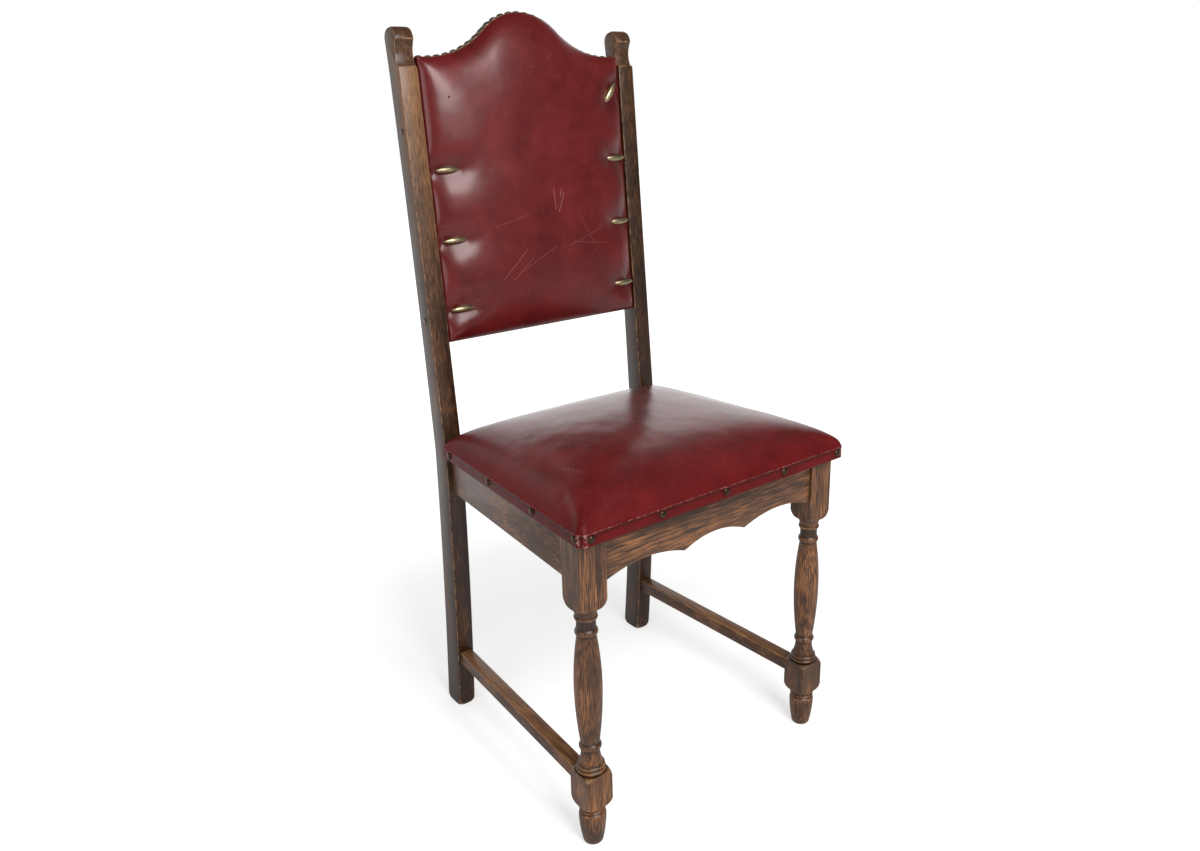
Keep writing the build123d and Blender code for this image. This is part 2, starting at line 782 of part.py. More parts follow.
with BuildPart() as back_board:
    with BuildSketch(back_plane.offset(board_back)):
        add(panel_outline(leather))
    extrude(amount=panel_board_thickness)
    cut_stud_holes()
    with Locations(*crest_places):
        Box(nail_shank, nail_shank, 2 * nail_length, mode=Mode.SUBTRACT)
    for side in sides.values():
        with Locations(*back_screw_planes(side)):
            Cylinder(screw_radius, screw_reach, mode=Mode.SUBTRACT)
save(back_board, "back_board")

with BuildPart() as back_padding:
    with BuildSketch(back_plane.offset(board_face)):
        add(panel_outline(leather))
    extrude(amount=panel_padding_edge)
    loft(panel_crown_sections(leather), ruled=True)
    press_dimples(leather)
    cut_stud_holes()
save(back_padding, "back_padding")

with BuildPart() as back_front_cover:
    with BuildSketch(back_plane.offset(board_back)):
        add(panel_outline(0))
    extrude(amount=panel_face - board_back)
    loft(panel_crown_sections(0), ruled=True)
    press_dimples(0)
    cut_stud_holes()
    with BuildSketch(back_plane.offset(board_back)):
        add(panel_outline(leather))
    extrude(amount=panel_board_thickness, mode=Mode.SUBTRACT)
    add(back_padding.part, mode=Mode.SUBTRACT)
    with Locations(*crest_places):
        Box(nail_shank, nail_shank, 2 * nail_length, mode=Mode.SUBTRACT)
    for side in sides.values():
        with Locations(*back_screw_planes(side)):
            Cylinder(screw_radius + screw_play, screw_reach, mode=Mode.SUBTRACT)
save(back_front_cover, "back_front_cover")

with BuildPart() as back_rear_cover:
    with BuildSketch(back_plane.offset(board_back - leather)):
        add(panel_outline(0))
    extrude(amount=leather)
save(back_rear_cover, "back_rear_cover")

with BuildPart() as crest_nails:
    with Locations(*crest_places):
        add(upholstery_nail(crest_nail_radius, crest_nail_rise))
save(crest_nails, "crest_nails")

with BuildPart() as back_studs:
    for x, y, angle in stud_places():
        for level, share in stud_dome:
            with BuildSketch(back_plane.offset(stud_seat + level * stud_rise)):
                with Locations((x, y)):
                    Ellipse(stud_length / 2 * share, stud_width / 2 * share, rotation=angle)
        loft(ruled=True)
        with BuildSketch(back_plane.offset(board_face - stud_bite)):
            with Locations((x, y)):
                Rectangle(stud_shank, stud_shank)
        extrude(amount=stud_seat - board_face + stud_bite)
save(back_studs, "back_studs")

with BuildPart() as back_screws:
    for side in sides.values():
        for plane in back_screw_planes(side):
            head_top = plane.offset(-plug_length)
            with BuildSketch(head_top):
                Circle(screw_head_radius)
            extrude(amount=-screw_head_height)
            with BuildSketch(head_top):
                Circle(screw_radius)
            extrude(amount=-(post_width - plug_length + panel_gap + back_screw_bite))
save(back_screws, "back_screws")

with BuildPart() as post_plugs:
    for side in sides.values():
        for plane in back_screw_planes(side):
            with BuildSketch(plane):
                Circle(plug_radius)
            extrude(amount=-plug_length)
save(post_plugs, "post_plugs")
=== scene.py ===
"""Dining chair in dark oak with a nailed leather seat and a padded camel-back panel."""

import math
import random

import bmesh
import bpy
from bpy.props import FloatProperty, FloatVectorProperty, PointerProperty
from mathutils import Matrix, Vector, noise


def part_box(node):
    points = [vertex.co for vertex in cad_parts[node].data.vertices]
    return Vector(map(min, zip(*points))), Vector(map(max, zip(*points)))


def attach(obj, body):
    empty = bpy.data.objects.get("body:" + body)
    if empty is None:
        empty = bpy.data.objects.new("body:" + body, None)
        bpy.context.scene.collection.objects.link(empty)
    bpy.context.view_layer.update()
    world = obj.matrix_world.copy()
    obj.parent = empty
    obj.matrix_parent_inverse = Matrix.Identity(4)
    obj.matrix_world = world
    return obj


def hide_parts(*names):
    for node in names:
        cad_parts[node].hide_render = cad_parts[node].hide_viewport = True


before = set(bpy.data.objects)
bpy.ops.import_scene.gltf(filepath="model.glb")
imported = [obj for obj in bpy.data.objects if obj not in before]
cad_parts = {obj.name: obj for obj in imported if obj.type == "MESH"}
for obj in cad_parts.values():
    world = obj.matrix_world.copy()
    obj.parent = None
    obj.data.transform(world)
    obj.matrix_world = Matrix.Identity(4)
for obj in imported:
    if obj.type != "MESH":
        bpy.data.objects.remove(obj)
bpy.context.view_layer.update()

bl_info = {
    "name": "Upholstered Dining Chair",
    "version": (1, 0, 0),
    "blender": (4, 5, 0),
    "location": "View3D > Sidebar > Chair",
    "description": "Turned oak dining chair with a nailed leather seat and back",
    "category": "Object",
}

MM = 0.001


def corners(node):
    """Lowest and highest corner of a solid."""
    low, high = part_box(node)
    return Vector(low), Vector(high)


LEG_LOW, LEG_HIGH = corners("front_leg_left")
POST_LOW, POST_HIGH = corners("rear_post_left")
BOARD_LOW, BOARD_HIGH = corners("seat_board")
PANEL_HIGH = corners("back_rear_cover")[1]
REAR_RAIL_HIGH = corners("rear_seat_rail")[1]

# Frame of the chair, in metres
LEG_HALF = (LEG_HIGH.x - LEG_LOW.x) / 2
LEG_X = -(LEG_HIGH.x + LEG_LOW.x) / 2
LEG_Y = (LEG_HIGH.y + LEG_LOW.y) / 2
POST_INNER = -POST_HIGH.x
POST_OUTER = -POST_LOW.x
POST_FRONT = POST_LOW.y
POST_TOP = POST_HIGH.z
KNEE = 440 * MM
WAIST = 708 * MM
LEDGE = 976 * MM
RIDGE = 1011 * MM
TOE = 22 * MM
SWEEP = 4.5 * MM
RAKE = math.radians(4.8)
SLOPE = math.radians(1.6)
SEAT_FRONT = BOARD_LOW.y
SEAT_HEIGHT = LEG_HIGH.z + (LEG_LOW.y - SEAT_FRONT) * math.tan(SLOPE)
RAIL = 20 * MM
SIDE_RAIL_DEPTH = 58 * MM
REAR_RAIL_DEPTH = 52 * MM
STRETCHER_RISE = 92 * MM
ARCH_RISE = 12 * MM
CUSP = 52.8 * MM

# Leather seat, measured along and square to its sloping board
SEAT_DEPTH = (POST_FRONT - SEAT_FRONT) / math.cos(SLOPE)
SKIN = 1.5 * MM
SEAT_HALF_FRONT = BOARD_HIGH.x + SKIN
SEAT_HALF_POST = POST_OUTER + 2 * MM + SKIN
SEAT_CORNER = 13 * MM
TONGUE_HALF = POST_INNER - 2.5 * MM
TONGUE_END = (REAR_RAIL_HIGH.y - SEAT_FRONT) / math.cos(SLOPE)
BAND_TOP = 16 * MM
SEAT_SWELL = 141.5 * MM
NAIL_LINE = 8 * MM
FRONT_NAILS = [(-212 + 106 * n) * MM for n in range(5)]
SIDE_NAILS = [11 * MM, 115 * MM, 239 * MM, 367 * MM]

# Leather panel, measured up and square to the raked back
PANEL_HALF = PANEL_HIGH.x
PANEL_BOTTOM = 163 * MM
PANEL_SHOULDER = 387 * MM
PANEL_FACE = -3 * MM
PANEL_REAR = -22.5 * MM
PANEL_SWELL = 96 * MM
CREST_RISE = 60 * MM
CREST_RUN = 150 * MM
CREST_RADIUS = 85 * MM
CREST_NAILS = 27
RIM_MIDDLE = -12.75 * MM
STUD_X = 142 * MM
STUD_ROWS = [209 * MM, 305.5 * MM, 402 * MM, 498.5 * MM]
STUD_SEAT = 5.2 * MM
TURNED_STUD = math.radians(54)
PLUG_ROWS = [197 * MM, 455 * MM]
PLUG_DEPTH = -14.5 * MM

# Scratches in millimetres, each with its strength: across and up on the panel, across and back on the seat
PANEL_SCRATCHES = (
    ((13, 805), (15, 776), 0.32), ((31, 799), (20, 772), 0.34), ((27, 804), (24, 794), 0.3),
    ((-82, 683), (-39, 723), 0.2), ((-65, 681), (-30, 710), 0.15), ((-50, 692), (11, 723), 0.12),
    ((36, 721), (103, 743), 0.12), ((40, 726), (108, 717), 0.1), ((-86, 759), (-32, 773), 0.1),
    ((54, 771), (81, 721), 0.1))
SEAT_SCRATCHES = (
    ((-171, -118), (-163, -150), 0.28), ((75, -105), (71, -150), 0.12), ((92, -229), (100, -231), 0.3),
    ((107, -228), (109, -232), 0.3), ((114, -231), (122, -233), 0.3), ((-218, -220), (-212, -228), 0.3))


# Camera's place in metres and turns in degrees; its focal length and middle are in pixels of the image
CAMERA_PLACE = (-0.8072, -1.0937, 0.9701)
CAMERA_YAW = -39.372
CAMERA_PITCH = -18.696
CAMERA_ROLL = -0.36
IMAGE_WIDTH = 1200
IMAGE_HEIGHT = 851
FOCAL = 998.9
IMAGE_MIDDLE = (664.7, 407.5)

# Soft lamps: name, place, width, height, power and share of gloss
LAMPS = (
    ("key", (-0.2, -1.95, 1.9), 1.2, 1.3, 54, 1.0),
    ("left", (-2.2, -0.5, 0.9), 1.1, 1.1, 11, 0.25))


def linear(code):
    """Linear colour of an sRGB hex value."""
    shares = [int(code[i:i + 2], 16) / 255 for i in (0, 2, 4)]
    return tuple(s / 12.92 if s <= 0.04045 else ((s + 0.055) / 1.055) ** 2.4 for s in shares)


def length(name, description, default):
    """Size in metres that can be set in the panel."""
    return FloatProperty(name=name, description=description, default=default, unit="LENGTH")


def tone(name, description, code):
    """Colour that can be set in the panel."""
    return FloatVectorProperty(name=name, description=description, subtype="COLOR", default=linear(code))


class ChairSizes(bpy.types.PropertyGroup):
    """Sizes of the chair's softer and smaller forms."""
    arris: length("Arris", "Rounding worn onto the frame's sawn edges", 1.4 * MM)
    vase_radius: length("Vase radius", "Widest radius of each front leg's turned vase", 18.2 * MM)
    bead_radius: length("Bead radius", "Radius of the beads above and below the vase", 14.9 * MM)
    seat_crown: length("Seat crown", "Rise of the seat's stuffing above its band", 50 * MM)
    panel_crown: length("Panel crown", "Rise of the back's stuffing above its edge", 26 * MM)
    nail_radius: length("Nail radius", "Radius of the nails round the seat", 5.4 * MM)
    nail_rise: length("Nail rise", "Height of the domed nail heads", 3 * MM)
    crest_nail_radius: length("Crest nail radius", "Radius of the nails along the back's crest", 5.8 * MM)
    stud_length: length("Stud length", "Length of the long oval studs in the back", 39 * MM)
    stud_width: length("Stud width", "Width of the long oval studs in the back", 11 * MM)
    stud_rise: length("Stud rise", "Height of the studs above the leather", 5.5 * MM)


class ChairColours(bpy.types.PropertyGroup):
    """Colours of the chair's finishes."""
    oak: tone("Stained oak", "Ground colour of the stained frame", "38200F")
    oak_rubbed: tone("Rubbed oak", "Where the stain has thinned to orange brown", "AA7044")
    # Also the painted highlight on the plugs' tops, and mixed into the painted sheen of the paler post fronts
    # and stretcher tops
    oak_worn_and_highlight: tone("Worn edges", "Pale wood along the frame's rubbed edges", "B98E66")
    leather: tone("Leather", "Oxblood of the seat and back", "681718")
    # Also the painted highlight along the seat's crease and the pleats' ridges
    leather_worn_and_highlight: tone("Worn leather", "Pale pink of scuffs and rubbed creases", "C2948B")
    brass: tone("Aged brass", "Brass of the studs", "BCAA86")
    nail: tone("Bronzed nails", "Dark bronze of the nail heads", "5C4A3A")


def on_seat(across, depth, rise):
    """Point on the seat: across it, back from its front edge, and above its board's underside."""
    return Vector((
        across,
        SEAT_FRONT + depth * math.cos(SLOPE) + rise * math.sin(SLOPE),
        SEAT_HEIGHT - depth * math.sin(SLOPE) + rise * math.cos(SLOPE)))


def on_back(across, up, forward):
    """Point on the back: across it, up from the knee, and forward of the posts' faces."""
    return Vector((
        across,
        POST_FRONT + up * math.sin(RAKE) - forward * math.cos(RAKE),
        KNEE + up * math.cos(RAKE) + forward * math.sin(RAKE)))


BACK_FORWARD = Vector((0, -math.cos(RAKE), math.sin(RAKE)))
BACK_UP = Vector((0, math.sin(RAKE), math.cos(RAKE)))


def seat_top(y):
    """Height of the seat frame's top at depth y."""
    return SEAT_HEIGHT - (y - SEAT_FRONT) * math.tan(SLOPE)


def seat_half(depth):
    """Half the seat's width, back from its front edge."""
    return SEAT_HALF_FRONT + (SEAT_HALF_POST - SEAT_HALF_FRONT) * depth / SEAT_DEPTH


def crest(across):
    """Height of the panel's camel back above its shoulders."""
    across = abs(across)
    turn = 2 * math.atan(CREST_RISE / CREST_RUN)
    hollow = CREST_RUN / math.sin(turn) - CREST_RADIUS
    if across < CREST_RADIUS * math.sin(turn):
        return CREST_RISE - CREST_RADIUS + math.sqrt(CREST_RADIUS ** 2 - across ** 2)
    if across < CREST_RUN:
        return hollow - math.sqrt(hollow ** 2 - (CREST_RUN - across) ** 2)
    return 0.0


def panel_top(across):
    """Height of the panel's upper edge up the back."""
    return PANEL_BOTTOM + PANEL_SHOULDER + crest(across)


def crest_places(count):
    """Places evenly spaced along the crest, each with the direction that it faces."""
    line = [Vector((s / 1000 * PANEL_HALF, panel_top(s / 1000 * PANEL_HALF))) for s in range(-1000, 1001)]
    reached = [0.0]
    for before, after in zip(line, line[1:]):
        reached.append(reached[-1] + (after - before).length)
    places = []
    for n in range(count):
        target = reached[-1] * (n + 0.5) / count
        at = next(i for i, length in enumerate(reached) if length >= target)
        along = (line[min(at + 4, 2000)] - line[max(at - 4, 0)]).normalized()
        places.append((line[at], Vector((-along.y, along.x))))
    return places


def bow(start, middle, end, steps):
    """Points of a shallow curve from start through its middle to its end."""
    points = []
    for n in range(steps + 1):
        t = n / steps
        shares = ((1 - t) * (1 - 2 * t), 4 * t * (1 - t), t * (2 * t - 1))
        points.append(tuple(
            sum(share * p[axis] for share, p in zip(shares, (start, middle, end)))
            for axis in (0, 1)))
    return points


def flare(level, end, steps):
    """Points of a curve that leaves an upright line at level and runs out to its end."""
    return [
        (level[0] + (end[0] - level[0]) * (n / steps) ** 2, level[1] + (end[1] - level[1]) * n / steps)
        for n in range(steps + 1)]


def quarter(face, corner, height, rise, steps):
    """Points of a round shoulder that turns out from a face to a corner as it rises."""
    angles = [n / steps * math.pi / 2 for n in range(steps + 1)]
    return [
        (face + (corner - face) * math.sin(a), height + rise * (1 - math.cos(a)))
        for a in angles]


def fresh():
    """Empty mesh that can hold rubbed places, grime and polish left by use, and painted highlights, shade and
    sheen.
    """
    bm = bmesh.new()
    for layer in ("wear_and_highlight", "grime_and_shade", "polish_and_sheen"):
        bm.verts.layers.float.new(layer)
    return bm


def settle(bm, name, material, nodes, angle=35):
    """Finished piece from a mesh, standing for its solids."""
    bmesh.ops.remove_doubles(bm, verts=bm.verts, dist=0.002 * MM)
    bmesh.ops.recalc_face_normals(bm, faces=bm.faces)
    mesh = bpy.data.meshes.new(name)
    bm.to_mesh(mesh)
    bm.free()
    mesh.shade_smooth()
    mesh.set_sharp_from_angle(angle=math.radians(angle))
    mesh.materials.append(material)
    piece = bpy.data.objects.new(name, mesh)
    bpy.context.scene.collection.objects.link(piece)
    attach(piece, "root")
    if nodes:
        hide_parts(*nodes)
    return piece


def sawn(outline, across):
    """Sawn blank: its outline carried straight across."""
    bm = fresh()
    face = bm.faces.new([bm.verts.new(point) for point in outline])
    swept = bmesh.ops.extrude_face_region(bm, geom=[face])
    far = [v for v in swept["geom"] if isinstance(v, bmesh.types.BMVert)]
    bmesh.ops.translate(bm, vec=across, verts=far)
    bmesh.ops.recalc_face_normals(bm, faces=bm.faces)
    return bm


def ease(bm, radius):
    """Rounds the sharp edges, and marks their middles as rubbed."""
    wear_and_highlight = bm.verts.layers.float["wear_and_highlight"]
    sharp = [e for e in bm.edges if e.is_manifold and e.calc_face_angle(0) > math.radians(35)]
    eased = bmesh.ops.bevel(
        bm, geom=sharp, offset=radius, offset_type="OFFSET", affect="EDGES",
        segments=2, profile=0.5, material=-1, clamp_overlap=False)
    rounded = set(eased["faces"])
    for vert in bm.verts:
        if vert.link_faces and all(face in rounded for face in vert.link_faces):
            vert[wear_and_highlight] = 1.0


def trim_to_seat(bm):
    """Brings every point down to the top of the seat's frame."""
    for vert in bm.verts:
        vert.co.z = min(vert.co.z, seat_top(vert.co.y))


def smooth_rise(bm, verts, turns):
    """Evens out how far the leather stands up."""
    for turn in range(turns):
        bmesh.ops.smooth_vert(
            bm, verts=verts, factor=0.5, use_axis_x=False, use_axis_y=False, use_axis_z=True)


def ball_top(bm, around, down, level):
    """Ball of radius 1 cut off below a level; gives its points."""
    ball = bmesh.ops.create_uvsphere(bm, u_segments=around, v_segments=down, radius=1.0)["verts"]
    edges = list(dict.fromkeys(e for v in ball for e in v.link_edges))
    faces = list(dict.fromkeys(f for v in ball for f in v.link_faces))
    cut = bmesh.ops.bisect_plane(
        bm, geom=ball + edges + faces, dist=1e-5, plane_co=(0, 0, level), plane_no=(0, 0, 1),
        clear_inner=True)
    kept = cut["geom"] + cut["geom_cut"]
    return list(dict.fromkeys(g for g in kept if isinstance(g, bmesh.types.BMVert) and g.is_valid))


def cut_across(bm, point, normal):
    """Divides the faces along a plane."""
    bmesh.ops.bisect_plane(
        bm, geom=bm.verts[:] + bm.edges[:] + bm.faces[:], dist=0.001 * MM, plane_co=point, plane_no=normal)


def plug(tree, socket, value):
    """Links a socket to another, or sets its value."""
    if isinstance(value, bpy.types.NodeSocket):
        tree.links.new(value, socket)
    else:
        socket.default_value = value


def add(tree, kind, inputs=None, out=0, **settings):
    """Adds a node with its settings and links, and gives one of its outputs."""
    made = tree.nodes.new(kind)
    for key, value in settings.items():
        setattr(made, key, value)
    for key, value in (inputs or {}).items():
        plug(tree, made.inputs[key], value)
    return made.outputs[out]


def ramp(tree, value, start, end, low, high):
    """Value carried from one range to another, and held at its ends."""
    return add(tree, "ShaderNodeMapRange", {
        "Value": value, "From Min": start, "From Max": end, "To Min": low, "To Max": high})


def times(tree, first, second):
    """Product of two values."""
    return add(tree, "ShaderNodeMath", {0: first, 1: second}, operation="MULTIPLY")


def larger(tree, first, second):
    """Larger of two values."""
    return add(tree, "ShaderNodeMath", {0: first, 1: second}, operation="MAXIMUM")


def blend(tree, share, first, second):
    """Colour between two others."""
    return add(tree, "ShaderNodeMix", {0: share, 6: first, 7: second}, out=2, data_type="RGBA")


def layer(tree, name):
    """Share of wear, grime or polish held by the mesh."""
    return add(tree, "ShaderNodeAttribute", out=2, attribute_name=name)


def speckle(tree, place, width, detail, roughness=0.5):
    """Even noise whose spots have a width."""
    return add(tree, "ShaderNodeTexNoise", {
        "Vector": place, "Scale": 1 / width, "Detail": detail, "Roughness": roughness})


def facing_rays(tree):
    """Share of rays from the camera, a gloss or a glass, and the share from a gloss."""
    rays = add(tree, "ShaderNodeLightPath").node.outputs
    seen = larger(tree, rays["Is Camera Ray"], rays["Is Glossy Ray"])
    return larger(tree, seen, rays["Is Transmission Ray"]), rays["Is Glossy Ray"]


def backward(tree, place, start, end, low, high):
    """Value that grows towards the backdrop behind the chair."""
    behind = add(
        tree, "ShaderNodeVectorMath", {0: place, 1: (0.3, 0.95, 0.0)}, out=1, operation="DOT_PRODUCT")
    return ramp(tree, behind, start, end, low, high)


def blank_material(name):
    """New material and its nodes."""
    material = bpy.data.materials.new(name)
    material.use_nodes = True
    return material, material.node_tree


def dress(material, inputs):
    """Gives a material's shader its links and values."""
    shader = material.node_tree.nodes["Principled BSDF"]
    for key, value in inputs.items():
        plug(material.node_tree, shader.inputs[key], value)
    return material


def timber(name, grain, ground, rubbed, worn_and_highlight, rub):
    """Sawn wood whose fibres run along one axis.

    Planks show long streaks of dark and light wood, short dark pores and paler rubbed edges, with painted
    shade in grooves and joints, a painted highlight on the plugs' tops and a paler painted sheen on some
    fronts and tops.
    """
    if name in bpy.data.materials:
        return bpy.data.materials[name]
    material, tree = blank_material(name)
    place = add(tree, "ShaderNodeTexCoord", out=3)
    stretched = []
    # Growth bands 16 mm wide, and flecks and pores drawn 1.3 mm and 0.9 mm wide so that they show
    for across, along in ((16, 240), (1.3, 34), (0.9, 16)):
        scale = [1 / (across * MM)] * 3
        scale[grain] = 1 / (along * MM)
        stretched.append(add(tree, "ShaderNodeMapping", {"Vector": place, "Scale": scale}))
    bands = add(tree, "ShaderNodeTexNoise", {
        "Vector": stretched[0], "Scale": 1.0, "Detail": 3.0, "Roughness": 0.55, "Distortion": 0.4})
    flecks = add(tree, "ShaderNodeTexNoise", {
        "Vector": stretched[1], "Scale": 1.0, "Detail": 2.0, "Roughness": 0.5, "Distortion": 0.3})
    pores = add(tree, "ShaderNodeTexNoise", {
        "Vector": stretched[2], "Scale": 1.0, "Detail": 1.0, "Roughness": 0.5})
    # Hands and cloths have thinned the stain in patches about 60 mm wide
    patches = speckle(tree, place, 60 * MM, 3.0, 0.6)
    chips = speckle(tree, place, 9 * MM, 4.0, 0.65)
    wear_and_highlight = layer(tree, "wear_and_highlight")
    grime_and_shade = layer(tree, "grime_and_shade")

    figure = add(tree, "ShaderNodeMath", {0: bands, 1: 0.5, 2: flecks}, operation="MULTIPLY_ADD")
    light = ramp(tree, figure, 0.68, 0.94, 0.0, 1.0)
    thin = ramp(tree, patches, 0.36, 0.64, 0.2 * rub, rub)
    share = times(tree, light, thin)
    colour = blend(tree, share, (*ground, 1), (*rubbed, 1))
    open_pores = ramp(tree, pores, 0.56, 0.70, 0.0, 0.55)
    deep = [c * 0.28 for c in ground]
    colour = blend(tree, open_pores, colour, (*deep, 1))
    # Painted shade in the turning's grooves and round joints darkens the wood towards the pores' deep colour
    dirt_and_shade = times(tree, grime_and_shade, 0.8)
    colour = blend(tree, dirt_and_shade, colour, (*deep, 1))
    # Pale rubbed edges; on the plugs' tops partly a painted highlight
    broken = ramp(tree, chips, 0.40, 0.62, 0.0, 0.85)
    rubbed_edge_and_highlight = times(tree, wear_and_highlight, broken)
    colour = blend(tree, rubbed_edge_and_highlight, colour, (*worn_and_highlight, 1))

    # Paler faded wood where the mesh holds polish: partly faded stain and partly painted sheen
    faded_and_sheen = [0.55 * r + 0.45 * w for r, w in zip(rubbed, worn_and_highlight)]
    polish_and_sheen = layer(tree, "polish_and_sheen")
    bare_and_sheen = ramp(tree, figure, 0.55, 1.0, 0.25, 1.0)
    bare_and_sheen = times(tree, bare_and_sheen, polish_and_sheen)
    colour = blend(tree, bare_and_sheen, colour, (*faded_and_sheen, 1))

    gloss = ramp(tree, flecks, 0.3, 0.7, 0.32, 0.46)
    height = add(tree, "ShaderNodeMath", {0: open_pores, 1: -1.2, 2: flecks}, operation="MULTIPLY_ADD")
    bump = add(tree, "ShaderNodeBump", {"Height": height, "Strength": 0.5, "Distance": 0.1 * MM})
    return dress(material, {"Base Color": colour, "Roughness": gloss, "Normal": bump})


def oak(grain, rub=0.9):
    """Dark-stained oak, waxed: open pores, orange flecks where the stain is thin, pale rubbed edges."""
    colours = bpy.context.scene.chair_colours
    name = ("dark_oak_crosswise", "dark_oak_lengthwise", "dark_oak_upright")[grain]
    ground = colours.oak
    if rub < 0.6:
        name += "_deep"
        ground = [c * 0.55 for c in ground]
    return timber(name, grain, ground, colours.oak_rubbed, colours.oak_worn_and_highlight, rub)


def plain_wood():
    """Unfinished beech of the hidden boards and blocks: pale, fine and dull."""
    return timber("sawn_beech", 0, linear("9C7A52"), linear("C4A274"), linear("D2B68C"), 1.0)


